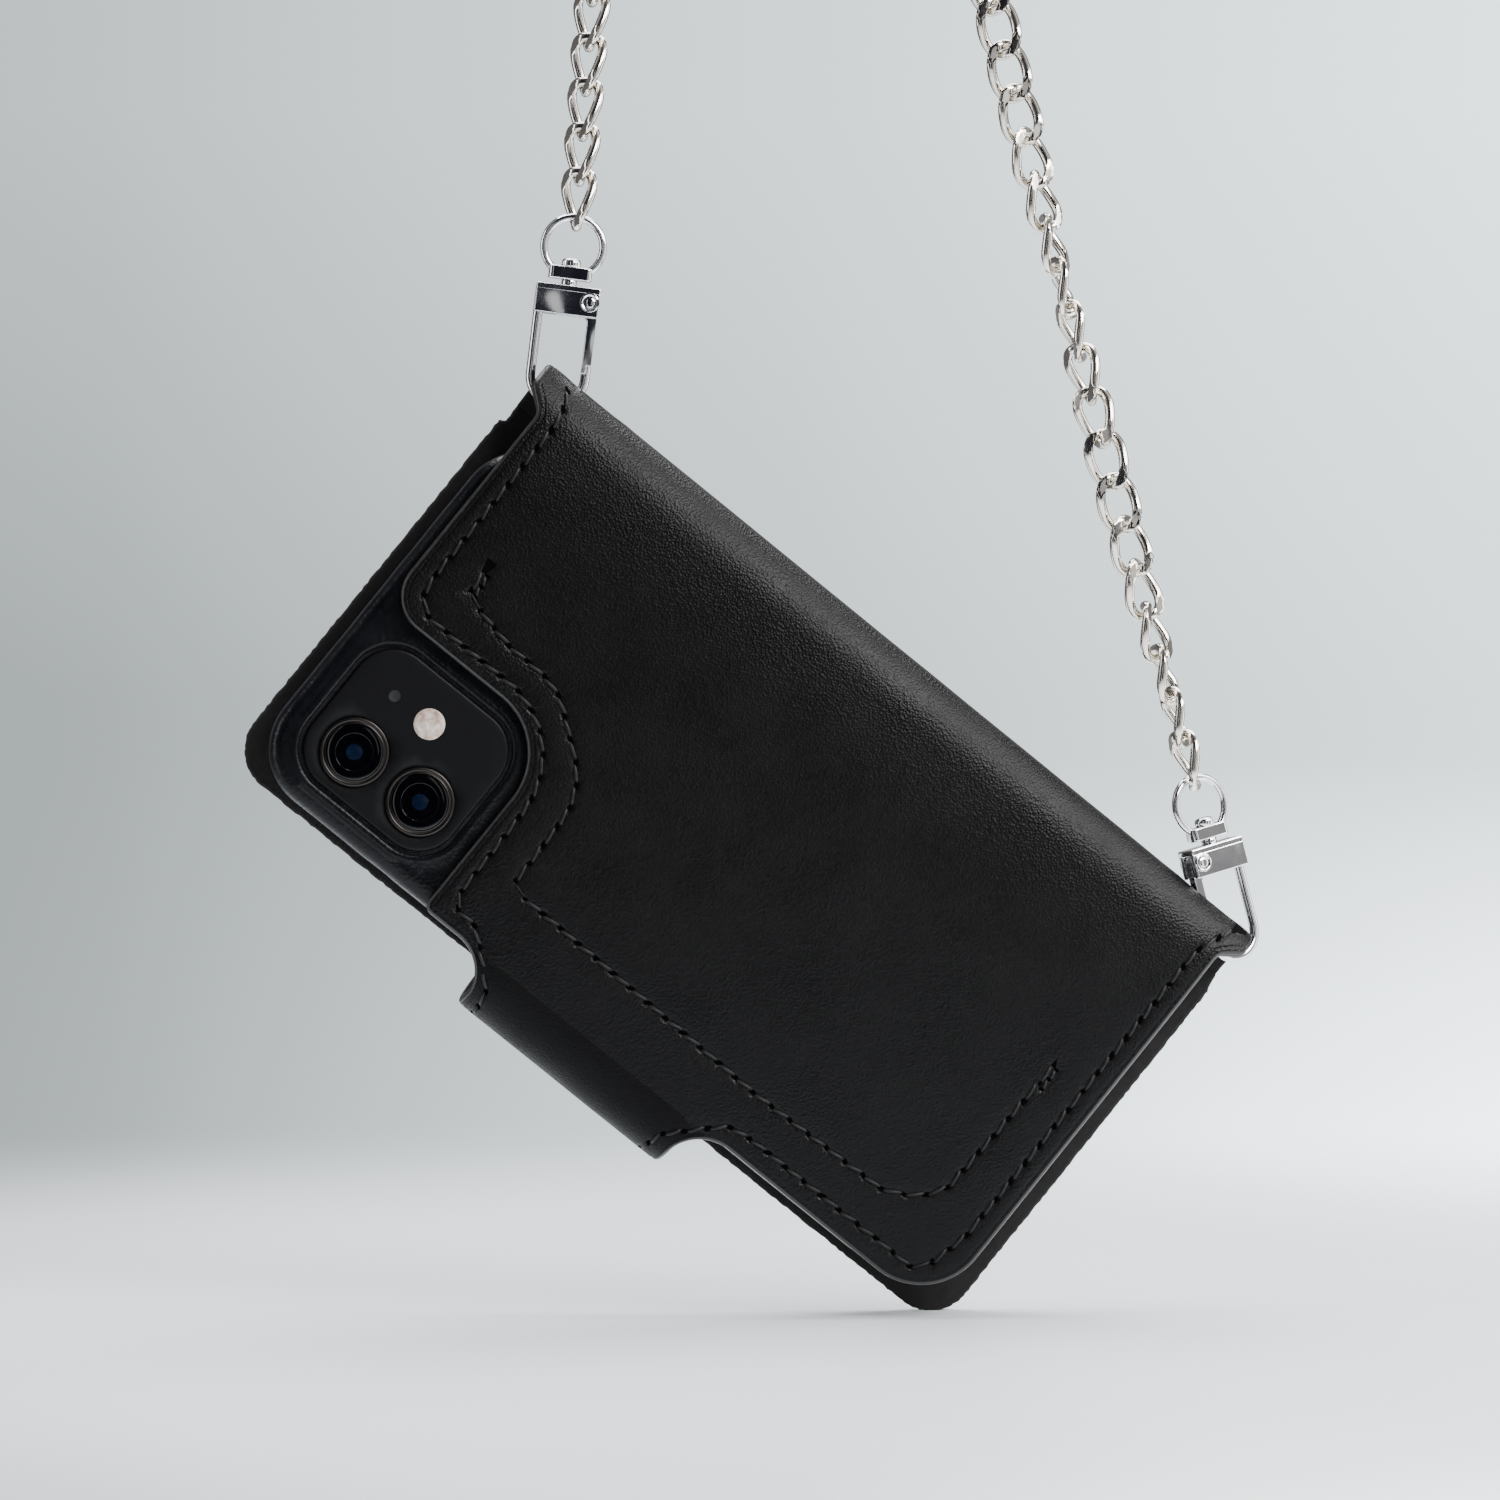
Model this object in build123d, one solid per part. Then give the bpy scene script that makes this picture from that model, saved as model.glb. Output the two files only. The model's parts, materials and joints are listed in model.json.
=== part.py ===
"""Phone folio wallet hung from a curb chain by two swivel clasps.

Frame: the origin is the centre of the peg that the chain hangs over, +Z is up, +X runs
along the row towards the low end of the spine, and -Y is the side with the camera opening.
Wallet pieces are drawn in their own plane: x along the spine, y from the spine to the open
edge, z through the thickness (towards the cover), and are then placed by WALLET.
Clasp pieces are drawn upright about the middle of the housing: x from the fixed leg to the
gate, y through the depth, z up the swivel axis.
"""

import math
import os

from build123d import *

# ---- driving dimensions, millimetres and degrees ----

# wallet
SPINE_TILT = 39.0            # slope of the spine below the horizontal
WALLET_ORIGIN = (33.3, -300.1)   # X and Z of the middle of the spine's crest
THICK = 17.0                 # over both leather panels, closed
LEATHER = 1.2                # grain side layer
LINING = 1.0                 # flesh side layer
SPINE_HALF = 84.4
NEAR_HALF = 80.5
NEAR_EDGE = 91.1
NEAR_CORNER = 13.0
NEAR_TOP_HALF = 82.0         # the near panel widens a little where it meets the spine
NEAR_NECK = 14.0             # and is at its own width from here on
NECK_RADIUS = 8.0
CUT_RIGHT = -40.0            # the near panel is cut away left of this and below CUT_TOP
CUT_TOP = 52.7
CUT_INNER_CORNER = 13.0
CUT_OUTER_CORNER = 7.0
CUT_END_CORNER = 1.5
FAR_HALF = 85.3
FAR_EDGE = 93.3
FAR_CORNER = 8.5
JOIN_CORNER = 0.3            # panel corners beside the spine
HINGE_GAP = 0.3
SLOT_MIDDLE = 73.7           # buttonhole slots near the ends of the spine
SLOT_LONG = 13.0
SLOT_WIDE = 5.0
SLOT_BACK_ANGLE = 13.0       # the slots sit this far round from the crest, on the cover side
END_TAPER = 20.0             # the near side of the spine's ends runs in to the panel's width
END_TAPER_FROM = 2.0
END_TAPER_LONG = 5.0

# phone case and phone
CASE_LEFT = -82.7
CASE_TOP = 12.6
PHONE_LONG = 151.0
PHONE_WIDE = 74.4
PHONE_THICK = 8.3
CASE_WALL = 2.25
CASE_BACK = 1.1
FIT_GAP = 0.1
CASE_CORNER = 12.0
WINDOW = (-77.7, 55.9, -43.2, 86.7)
WINDOW_CORNER = 8.5
PLATE_MARGIN = 0.5
LENS_PLACES = ((-67.6, 77.5), (-52.5, 77.1))
FLASH_PLACE = (-60.1, 64.9)
MIC_PLACE = (-68.3, 64.9)
CASE_RIM = 0.5               # the case's lip above the phone's screen
CASE_BACK_ROUND = 1.0
SCREEN_MARGIN = 2.5
SCREEN_THICK = 0.7
PLATE_PROUD = 0.1            # camera plate to the inside face of the case's back
LENS_RING = 6.4              # radii of the camera parts
LENS_GLASS = 5.2
FLASH = 2.95
MIC = 1.0
LENS_SEAT = 0.9              # the ring stands this far out of the plate
GLASS_SEAT = 0.7
FLASH_SEAT = 0.1
MIC_SEAT = 0.05
SUNK = 0.4                   # depth of lenses and microphone in the plate
FLASH_SUNK = 0.5

# closure strap
STRAP_HALF = 23.75
STRAP_FLARE = 8.0
STRAP_TAIL = 27.0            # length that lies on the cover
STRAP_CLEAR = 0.3
STRAP_TURN_PAST = 0.65       # axis of the strap's turn beyond the panel's edge

# magnet in the strap, its steel keeper in the cover, and the card pockets inside the cover
MAGNET = 12.0
KEEPER = 14.0
MAGNET_IN = 17.0             # from the panel's open edge
POCKET_HALF = 62.0
POCKET_MOUTHS = (20.0, 38.0)
POCKET_FOOT = 86.0
POCKET_CORNER = 3.0
POCKET_THICK = 0.8
MAGNET_SKIN = 0.1            # lining left over the magnet, and over the keeper
KEEPER_SKIN = 0.2

# clasps
CLASP_LEFT = (-28.6, 1.8, -234.6)
CLASP_RIGHT = (92.3, 3.3, -338.0)
LEFT_LEAN, LEFT_YAW = 7.0, 0.0
RIGHT_LEAN, RIGHT_YAW = -14.5, 26.0
HOUSING = (11.9, 4.9, 5.5)
HOOK_WIRE = 1.8
HOOK_STRAIGHT = 11.3         # housing to the start of the bow
PIVOT_IN = 1.85              # rivet axis from the gate side of the housing
RIVET_HEAD = 3.6
PIN = 1.6
RUN_GAP = 0.05               # radial running clearance
NECK = 2.4
COLLAR = 2.9
POST_HEAD = 3.6
BAR_GAP = 1.2
BAR = (7.4, 3.0, 2.2)
RING_OUTER = 12.2
RING_WIRE = 1.25
HOUSING_ROUND = 1.0
HOUSING_ROOF = 0.9
GATE_SLOT_FROM = -1.6        # the slot for the gate runs from here to the housing's end
GATE_SLOT_HALF = 1.3
LEG_DEEP = 2.0               # hook's fixed leg inside the housing
COLLAR_GAP = 0.05
HEAD_TALL = 1.6
HEAD_GAP = 0.1
HEAD_ROUND = 0.6
BAR_ROUND = 0.8
NOSE_TALL = 2.4              # end of the hook beyond its bow
LAP_FROM = 1.0               # the nose is cut to half its width from here
LAP_GAP = 0.1
EYE_LONG = 2.2
RIVET_PROUD = 0.3
SPRING_HALF = 1.0            # half width of the leaf spring
SPRING_LEAF = (-1.6, -0.6, -1.2, 1.5)      # X and Z of its two legs, as near and far corners
SPRING_ARM = (-1.6, 1.2, 1.6, 1.5)

# chain
LINK_WIRE = 1.75
LINK_LONG = 12.0
LINK_WIDE = 8.1
LINK_TWIST = 38.0
LINK_PITCH = 8.4
LINK_END_BEND = 2.7
LINK_SIDE_BEND = 6.0
LEFT_LINKS = 26
PEG_LINKS = 4
CONTACT_GAP = 0.15           # between a ring and the link that hangs it
PEG_BEND = 11.0              # radius of the chain's bend over the peg
RIGHT_SAG = 3.5

# ---- derived values ----

OUT = THICK / 2
SHEET = LEATHER + LINING
SPINE_IN = OUT - SHEET
CASE_Z = -SPINE_IN
CASE_LONG = PHONE_LONG + 2 * CASE_WALL
CASE_WIDE = PHONE_WIDE + 2 * CASE_WALL
PHONE_Z = CASE_Z + CASE_BACK + FIT_GAP
PHONE_LEFT = CASE_LEFT + CASE_WALL
PHONE_TOP = CASE_TOP + CASE_WALL
RING_Z = HOUSING[2] / 2 + BAR_GAP + RING_OUTER / 2
HOOK_X = (HOUSING[0] - HOOK_WIRE) / 2
PIVOT_X = HOUSING[0] / 2 - PIVOT_IN
BOW_Z = -HOUSING[2] / 2 - HOOK_STRAIGHT

WALLET = Plane(
    origin=(WALLET_ORIGIN[0], 0, WALLET_ORIGIN[1]),
    x_dir=(math.cos(math.radians(SPINE_TILT)), 0, -math.sin(math.radians(SPINE_TILT))),
    z_dir=(0, 1, 0),
)


def clasp_plane(place, lean, yaw, gate_side):
    """Frame of a clasp: gate_side is +1 with the gate towards +X and -1 with it towards -X."""
    up = Vector(math.sin(math.radians(lean)), 0, math.cos(math.radians(lean)))
    level = Vector(math.cos(math.radians(lean)), 0, -math.sin(math.radians(lean)))
    turn = math.radians(yaw)
    to_gate = (level * math.cos(turn) + Vector(0, 1, 0) * math.sin(turn)) * gate_side
    return Plane(origin=place, x_dir=to_gate, z_dir=up)


CLASPS = {
    "left": clasp_plane(CLASP_LEFT, LEFT_LEAN, LEFT_YAW, 1),
    "right": clasp_plane(CLASP_RIGHT, RIGHT_LEAN, RIGHT_YAW, -1),
}


# ---- small helpers ----

def slab(points, radii, low, high):
    """Flat solid between two heights from an outline with rounded corners."""
    outline = FilletPolyline(*points, radius=radii, close=True)
    return Pos(0, 0, low) * extrude(make_face(outline), high - low)


def plate(x0, y0, x1, y1, radius, low, high):
    return slab([(x0, y0), (x1, y0), (x1, y1), (x0, y1)], [radius] * 4, low, high)


def disc(x, y, radius, low, high):
    return Pos(x, y, (low + high) / 2) * Cylinder(radius, high - low)


def block(x0, y0, z0, x1, y1, z1):
    middle = ((x0 + x1) / 2, (y0 + y1) / 2, (z0 + z1) / 2)
    return Pos(*middle) * Box(x1 - x0, y1 - y0, z1 - z0)


def tube(path, radius):
    section = Plane(origin=path @ 0, z_dir=path % 0) * Circle(radius)
    return sweep(section, path)


def cross_pin(x, z, radius, length):
    """Cylinder along y."""
    return Pos(x, 0, z) * Rot(90, 0, 0) * Cylinder(radius, length)


# ---- leather ----

def near_panel(low, high):
    """Panel that carries the phone case, cut away round the phone's cameras."""
    points = [
        (-NEAR_TOP_HALF, OUT), (NEAR_TOP_HALF, OUT), (NEAR_HALF, NEAR_NECK),
        (NEAR_HALF, NEAR_EDGE), (CUT_RIGHT, NEAR_EDGE), (CUT_RIGHT, CUT_TOP),
        (-NEAR_HALF, CUT_TOP), (-NEAR_HALF, NEAR_NECK),
    ]
    radii = [
        JOIN_CORNER, JOIN_CORNER, NECK_RADIUS, NEAR_CORNER,
        CUT_END_CORNER, CUT_INNER_CORNER, CUT_OUTER_CORNER, NECK_RADIUS,
    ]
    return slab(points, radii, low, high)


def cover_panel(low, high):
    top = OUT + HINGE_GAP
    points = [(-FAR_HALF, top), (FAR_HALF, top), (FAR_HALF, FAR_EDGE), (-FAR_HALF, FAR_EDGE)]
    return slab(points, [JOIN_CORNER, JOIN_CORNER, FAR_CORNER, FAR_CORNER], low, high)


def spine_layer(inner, outer):
    """Half tube along the spine, with a slot near each end for the clasp hooks."""
    ring = Cylinder(outer, 2 * SPINE_HALF) - Cylinder(inner, 2 * SPINE_HALF + 2)
    tube_along = Pos(0, OUT, 0) * Rot(0, 90, 0) * ring
    half = tube_along & block(-90, -1, -20, 90, OUT, 20)
    slot = extrude(Plane.XZ * SlotOverall(SLOT_LONG, SLOT_WIDE), SPINE_IN, both=True)
    wedge = block(0, 0, -OUT, END_TAPER_LONG, END_TAPER_LONG + 3, OUT / 2 - 1)
    for side in (-1, 1):
        cut = wedge if side > 0 else mirror(wedge, Plane.YZ)
        taper = Pos(side * SPINE_HALF, END_TAPER_FROM, -OUT / 2) * Rot(0, 0, side * END_TAPER)
        half = half - taper * cut
        around = Pos(side * SLOT_MIDDLE, OUT, 0) * Rot(-SLOT_BACK_ANGLE, 0, 0)
        half = half - around * (Pos(0, -OUT, 0) * slot)
    return half


def strap_layer(inset, thick):
    """One layer of the strap. inset is its depth below the grain surface."""
    turn_y = NEAR_EDGE + STRAP_TURN_PAST
    middle_z = (STRAP_CLEAR + SHEET) / 2
    radius = OUT + middle_z - inset
    small = radius - thick
    with BuildSketch(Plane.YZ) as section:
        with Locations((turn_y, middle_z)):
            Circle(radius)
            Circle(small, mode=Mode.SUBTRACT)
            with Locations((-25, 0)):
                Rectangle(50, 60, mode=Mode.SUBTRACT)
        root = NEAR_EDGE + HINGE_GAP
        with Locations(((root + turn_y) / 2, middle_z - (radius + small) / 2)):
            Rectangle(turn_y - root, thick)
        tail_end = turn_y - STRAP_TAIL
        with Locations(((tail_end + turn_y) / 2, middle_z + (radius + small) / 2)):
            Rectangle(STRAP_TAIL, thick)
    full = extrude(section.sketch, STRAP_HALF + STRAP_FLARE, both=True)
    band = full & block(-STRAP_HALF, 0, -20, STRAP_HALF, 120, 20)
    return band + (full & flares())


def flares():
    """The concave corners where the strap grows out of the panel's open edge."""
    root = NEAR_EDGE + HINGE_GAP
    corner = None
    for side in (-1, 1):
        piece = block(0, 0, -20, STRAP_FLARE, STRAP_FLARE, 0)
        piece = piece - Pos(STRAP_FLARE, STRAP_FLARE, -10) * Cylinder(STRAP_FLARE, 30)
        piece = Pos(STRAP_HALF, root, 0) * piece
        piece = piece if side > 0 else mirror(piece, Plane.YZ)
        corner = piece if corner is None else corner + piece
    return corner


def card_pocket(mouth, layer):
    """Flat pocket inside the cover. layer counts from the lining."""
    top = SPINE_IN - POCKET_THICK * (layer - 1)
    return plate(
        -POCKET_HALF, mouth, POCKET_HALF, POCKET_FOOT, POCKET_CORNER, top - POCKET_THICK, top)


def leather_parts():
    grain, seam = -OUT, -OUT + LEATHER
    magnet_y = NEAR_EDGE - MAGNET_IN
    magnet_z = OUT + STRAP_CLEAR
    magnet = disc(0, magnet_y, MAGNET / 2, magnet_z + MAGNET_SKIN, magnet_z + LINING)
    keeper = disc(0, magnet_y, KEEPER / 2, SPINE_IN + KEEPER_SKIN, OUT - LEATHER)
    return {
        "near_panel_leather": near_panel(grain, seam),
        "near_panel_lining": near_panel(seam, -SPINE_IN),
        "spine_leather": spine_layer(OUT - LEATHER, OUT),
        "spine_lining": spine_layer(SPINE_IN, OUT - LEATHER),
        "cover_leather": cover_panel(OUT - LEATHER, OUT),
        "cover_lining": cover_panel(SPINE_IN, OUT - LEATHER) - keeper,
        "card_pocket_back": card_pocket(POCKET_MOUTHS[0], 1),
        "card_pocket_front": card_pocket(POCKET_MOUTHS[1], 2),
        "keeper_plate": keeper,
        "strap_leather": strap_layer(0, LEATHER),
        "strap_lining": strap_layer(LEATHER, LINING) - magnet,
        "strap_magnet": magnet,
    }


# ---- phone case and phone ----

def case_shell():
    x1, y1 = CASE_LEFT + CASE_LONG, CASE_TOP + CASE_WIDE
    rim = PHONE_Z + PHONE_THICK + CASE_RIM
    shell = plate(CASE_LEFT, CASE_TOP, x1, y1, CASE_CORNER, CASE_Z, rim)
    back_edges = shell.edges().group_by(Axis.Z)[0]
    shell = fillet(back_edges, CASE_BACK_ROUND)
    hollow = plate(
        PHONE_LEFT - FIT_GAP, PHONE_TOP - FIT_GAP,
        x1 - CASE_WALL + FIT_GAP, y1 - CASE_WALL + FIT_GAP,
        CASE_CORNER - CASE_WALL + FIT_GAP, CASE_Z + CASE_BACK, rim + 1,
    )
    window = plate(*WINDOW, WINDOW_CORNER, CASE_Z - 1, CASE_Z + CASE_BACK + 1)
    return shell - hollow - window


def phone_parts():
    x1, y1 = PHONE_LEFT + PHONE_LONG, PHONE_TOP + PHONE_WIDE
    top = PHONE_Z + PHONE_THICK
    corner = CASE_CORNER - CASE_WALL
    screen = plate(
        PHONE_LEFT + SCREEN_MARGIN, PHONE_TOP + SCREEN_MARGIN,
        x1 - SCREEN_MARGIN, y1 - SCREEN_MARGIN, corner - 2, top - SCREEN_THICK, top)
    body = plate(PHONE_LEFT, PHONE_TOP, x1, y1, corner, PHONE_Z, top) - screen
    edge = WINDOW
    plate_top = PHONE_Z - CASE_BACK + PLATE_PROUD
    camera = plate(
        edge[0] + PLATE_MARGIN, edge[1] + PLATE_MARGIN, edge[2] - PLATE_MARGIN,
        edge[3] - PLATE_MARGIN, WINDOW_CORNER - PLATE_MARGIN, plate_top, PHONE_Z)
    rings, glasses = [], []
    for x, y in LENS_PLACES:
        seat = disc(x, y, LENS_RING, plate_top - LENS_SEAT, plate_top + SUNK)
        glass = disc(x, y, LENS_GLASS, plate_top - GLASS_SEAT, plate_top + SUNK)
        camera = camera - seat
        rings.append(seat - glass)
        glasses.append(glass)
    flash = disc(*FLASH_PLACE, FLASH, plate_top - FLASH_SEAT, plate_top + FLASH_SUNK)
    mic = disc(*MIC_PLACE, MIC, plate_top - MIC_SEAT, plate_top + SUNK)
    camera = camera - flash - mic
    return {
        "phone_body": body,
        "phone_screen": screen,
        "camera_plate": camera,
        "lens_rings": Compound(children=rings),
        "lens_glasses": Compound(children=glasses),
        "flash_lens": flash,
        "microphone_mesh": mic,
    }


# ---- clasp ----

def housing():
    long, deep, tall = HOUSING
    shell = Box(long, deep, tall)
    closed_side = shell.edges().filter_by(Axis.Z).group_by(Axis.X)[0]
    shell = fillet(closed_side, HOUSING_ROUND)
    slot = block(
        GATE_SLOT_FROM, -GATE_SLOT_HALF, -tall / 2 - 1,
        long / 2 + 1, GATE_SLOT_HALF, tall / 2 - HOUSING_ROOF)
    leg_hole = disc(-HOOK_X, 0, HOOK_WIRE / 2, -tall / 2, -tall / 2 + LEG_DEEP)
    post_hole = disc(0, 0, NECK / 2, tall / 2 - HOUSING_ROOF, tall / 2)
    pin_hole = cross_pin(PIVOT_X, 0, PIN / 2, deep + 2)
    return shell - slot - leg_hole - post_hole - pin_hole


def swivel_post():
    top = HOUSING[2] / 2
    bar_top = top + BAR_GAP + BAR[2]
    neck = disc(0, 0, NECK / 2, top - HOUSING_ROOF, bar_top + HEAD_GAP)
    collar = disc(0, 0, COLLAR / 2, top, top + BAR_GAP - COLLAR_GAP)
    head = disc(0, 0, POST_HEAD / 2, bar_top + HEAD_GAP, bar_top + HEAD_GAP + HEAD_TALL)
    head = fillet(head.edges().group_by(Axis.Z)[-1], HEAD_ROUND)
    return neck + collar + head


def swivel_ring():
    low = HOUSING[2] / 2 + BAR_GAP
    major = (RING_OUTER - RING_WIRE) / 2
    ring = Pos(0, 0, RING_Z) * Rot(90, 0, 0) * Torus(major, RING_WIRE / 2)
    bar = block(-BAR[0] / 2, -BAR[1] / 2, low, BAR[0] / 2, BAR[1] / 2, low + BAR[2])
    bar = fillet(bar.edges().filter_by(Axis.Z), BAR_ROUND)
    return ring + bar - disc(0, 0, NECK / 2 + RUN_GAP, low - 1, low + BAR[2] + 1)


def hook():
    """Fixed leg, bow and the half nose that the gate closes on."""
    top = -HOUSING[2] / 2
    path = FilletPolyline(
        (-HOOK_X, 0, top + LEG_DEEP), (-HOOK_X, 0, BOW_Z - HOOK_X),
        (HOOK_X, 0, BOW_Z - HOOK_X), (HOOK_X, 0, BOW_Z + NOSE_TALL),
        radius=HOOK_X - 0.01,
    )
    wire = tube(path, HOOK_WIRE / 2)
    wide = HOOK_WIRE
    inner_half = block(
        HOOK_X - wide, -wide, BOW_Z + LAP_FROM, HOOK_X, wide, BOW_Z + NOSE_TALL + wide)
    return wire - inner_half


def gate():
    """Lever between the housing's cheeks, ending in a half lap inside the nose."""
    half = HOOK_WIRE / 2
    arm_end = BOW_Z + NOSE_TALL + LAP_GAP
    arm = block(HOOK_X - half, -half, arm_end, HOOK_X + half, half, 0)
    lap = block(
        HOOK_X - half, -half, BOW_Z + LAP_FROM + LAP_GAP, HOOK_X - LAP_GAP, half, arm_end)
    eye = cross_pin(PIVOT_X, 0, RIVET_HEAD / 2, EYE_LONG)
    return arm + lap + eye - cross_pin(PIVOT_X, 0, PIN / 2 + RUN_GAP, 6)


def gate_rivet():
    deep = HOUSING[1]
    pin = cross_pin(PIVOT_X, 0, PIN / 2, deep)
    rivet = pin
    for side in (-1, 1):
        rivet = rivet + Pos(0, side * (deep + RIVET_PROUD) / 2, 0) * cross_pin(
            PIVOT_X, 0, RIVET_HEAD / 2, RIVET_PROUD)
    return rivet


def gate_spring():
    """Leaf spring on the housing's inner wall, behind the gate's eye."""
    legs = [
        block(x0, -SPRING_HALF, z0, x1, SPRING_HALF, z1)
        for x0, z0, x1, z1 in (SPRING_LEAF, SPRING_ARM)
    ]
    return legs[0] + legs[1]


def clasp_parts():
    made = {
        "swivel_ring": swivel_ring(),
        "swivel_post": swivel_post(),
        "clasp_housing": housing(),
        "hook": hook(),
        "gate": gate(),
        "gate_rivet": gate_rivet(),
        "gate_spring": gate_spring(),
    }
    placed = {}
    for side, plane in CLASPS.items():
        for name, piece in made.items():
            placed[f"{side}_{name}"] = plane.location * piece
    return placed


# ---- chain ----

def curb_link():
    """One twisted oval link, its long axis along z, made of straight runs and tangent arcs."""
    high = (LINK_LONG - LINK_WIRE) / 2
    wide = (LINK_WIDE - LINK_WIRE) / 2
    twist = math.radians(LINK_TWIST)
    corner_x, corner_y = wide * math.cos(twist), wide * math.sin(twist)
    path = FilletPolyline(
        (0, 0, high), (corner_x, corner_y, high), (wide, 0, 0),
        (corner_x, -corner_y, -high), (0, 0, -high),
        radius=[LINK_END_BEND, LINK_SIDE_BEND, LINK_END_BEND],
    )
    half = tube(path, LINK_WIRE / 2)
    return half + Rot(0, 0, 180) * half


def run_points(start, end, sag, count=60):
    """Points along a taut run that bows slightly under its own weight."""
    start, end = Vector(*start), Vector(*end)
    along = (end - start).normalized()
    down = Vector(0, 0, -1)
    bow = (down - along * down.dot(along)).normalized()
    points = []
    for n in range(count + 1):
        t = n / count
        points.append(start + (end - start) * t + bow * (4 * sag * t * (1 - t)))
    return points


def tangent_angle(end, side):
    """Where a taut run from end touches the bend over the peg, as an angle from +X."""
    reach = math.hypot(end[0], end[2])
    return math.atan2(end[2], end[0]) + side * math.acos(PEG_BEND / reach)


def ring_contact(side):
    """Middle of the contact between the last link and the clasp's ring."""
    middle = RING_Z + (RING_OUTER - RING_WIRE) / 2 - RING_WIRE / 2 - CONTACT_GAP
    point = CLASPS[side].location * Pos(0, 0, middle)
    return (point.position.X, point.position.Y, point.position.Z)


def chain_points():
    """Points where neighbouring links touch, from the left ring over the peg to the right."""
    left, right = ring_contact("left"), ring_contact("right")
    first = tangent_angle(left, -1) % (2 * math.pi)
    last = tangent_angle(right, 1) % (2 * math.pi)
    start = (PEG_BEND * math.cos(first), 0, PEG_BEND * math.sin(first))
    end = (PEG_BEND * math.cos(last), 0, PEG_BEND * math.sin(last))
    route = run_points(left, start, 0.0)
    steps = 24
    for n in range(1, steps):
        angle = first + (last - first) * n / steps
        route.append(Vector(PEG_BEND * math.cos(angle), 0, PEG_BEND * math.sin(angle)))
    route += run_points(end, right, RIGHT_SAG)
    return spread(route)


def spread(route):
    """Evenly spaced points along a route, no further apart than the links allow."""
    reach = [0.0]
    for a, b in zip(route, route[1:]):
        reach.append(reach[-1] + (b - a).length)
    count = math.ceil(reach[-1] / LINK_PITCH)
    points, k = [], 0
    for n in range(count + 1):
        want = reach[-1] * n / count
        while k < len(route) - 2 and reach[k + 1] < want:
            k += 1
        share = (want - reach[k]) / (reach[k + 1] - reach[k])
        points.append(route[k] + (route[k + 1] - route[k]) * share)
    return points


# roll of the links about the chain's line, as (distance from the left ring, degrees)
ROLLS = (
    (0, 55), (60, 50), (230, 90), (456, 180), (495, 270), (535, 360), (575, 453), (600, 490),
)


def roll_at(distance):
    for (s0, a0), (s1, a1) in zip(ROLLS, ROLLS[1:]):
        if distance <= s1:
            return a0 + (a1 - a0) * (distance - s0) / (s1 - s0)
    return ROLLS[-1][1]


def chain_links():
    """Links in order, each with its place along the chain."""
    link = curb_link()
    points = chain_points()
    print("links", len(points) - 1, "pitch", (points[1] - points[0]).length)
    links, gone = [], 0.0
    for a, b in zip(points, points[1:]):
        along = b - a
        level = along.cross(Vector(0, 1, 0)).normalized()
        roll = math.radians(roll_at(gone + along.length / 2))
        across = level * math.cos(roll) + Vector(0, 1, 0) * math.sin(roll)
        place = Plane(origin=(a + b) * 0.5, x_dir=across, z_dir=along)
        links.append(place.location * link)
        gone += along.length
    return links


def chain_parts():
    links = chain_links()
    over = LEFT_LINKS + PEG_LINKS
    return {
        "left_chain": Compound(children=links[:LEFT_LINKS]),
        "peg_links": Compound(children=links[LEFT_LINKS:over]),
        "right_chain": Compound(children=links[over:]),
    }


def main():
    os.makedirs("parts", exist_ok=True)
    wallet = {**leather_parts(), "phone_case": case_shell(), **phone_parts()}
    made = {name: WALLET.location * piece for name, piece in wallet.items()}
    made.update(clasp_parts())
    made.update(chain_parts())
    for name, shape in made.items():
        export_step(shape, f"parts/{name}.step")


if __name__ == "__main__":
    main()
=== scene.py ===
"""Looks of the chain wallet: a black leather phone folio hung from a silver curb chain.

Leather pieces are drawn flat, as outlines with an edge profile, and folded onto the frame.
Lengths in the drawing helpers are millimetres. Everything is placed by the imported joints.
"""

import json
import math
import random

import bmesh
import bpy
import numpy as np
from mathutils import Matrix, Vector, geometry, noise


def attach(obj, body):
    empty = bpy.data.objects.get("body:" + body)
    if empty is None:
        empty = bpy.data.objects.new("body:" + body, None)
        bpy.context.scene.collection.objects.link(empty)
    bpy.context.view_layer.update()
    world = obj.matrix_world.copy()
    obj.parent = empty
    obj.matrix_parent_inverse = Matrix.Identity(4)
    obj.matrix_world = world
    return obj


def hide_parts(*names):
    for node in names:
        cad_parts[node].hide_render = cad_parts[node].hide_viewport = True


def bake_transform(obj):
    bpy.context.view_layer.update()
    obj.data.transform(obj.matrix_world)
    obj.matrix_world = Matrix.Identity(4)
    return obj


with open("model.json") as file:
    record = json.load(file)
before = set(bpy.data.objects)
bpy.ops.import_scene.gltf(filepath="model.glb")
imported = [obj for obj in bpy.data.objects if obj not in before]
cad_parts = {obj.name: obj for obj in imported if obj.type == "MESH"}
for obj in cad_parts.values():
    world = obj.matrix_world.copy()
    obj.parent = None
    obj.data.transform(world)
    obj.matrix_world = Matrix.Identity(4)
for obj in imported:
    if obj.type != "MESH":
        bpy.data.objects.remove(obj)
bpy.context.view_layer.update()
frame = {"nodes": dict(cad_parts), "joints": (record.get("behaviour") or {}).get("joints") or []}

MM = 0.001
DICE = random.Random(7)

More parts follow.
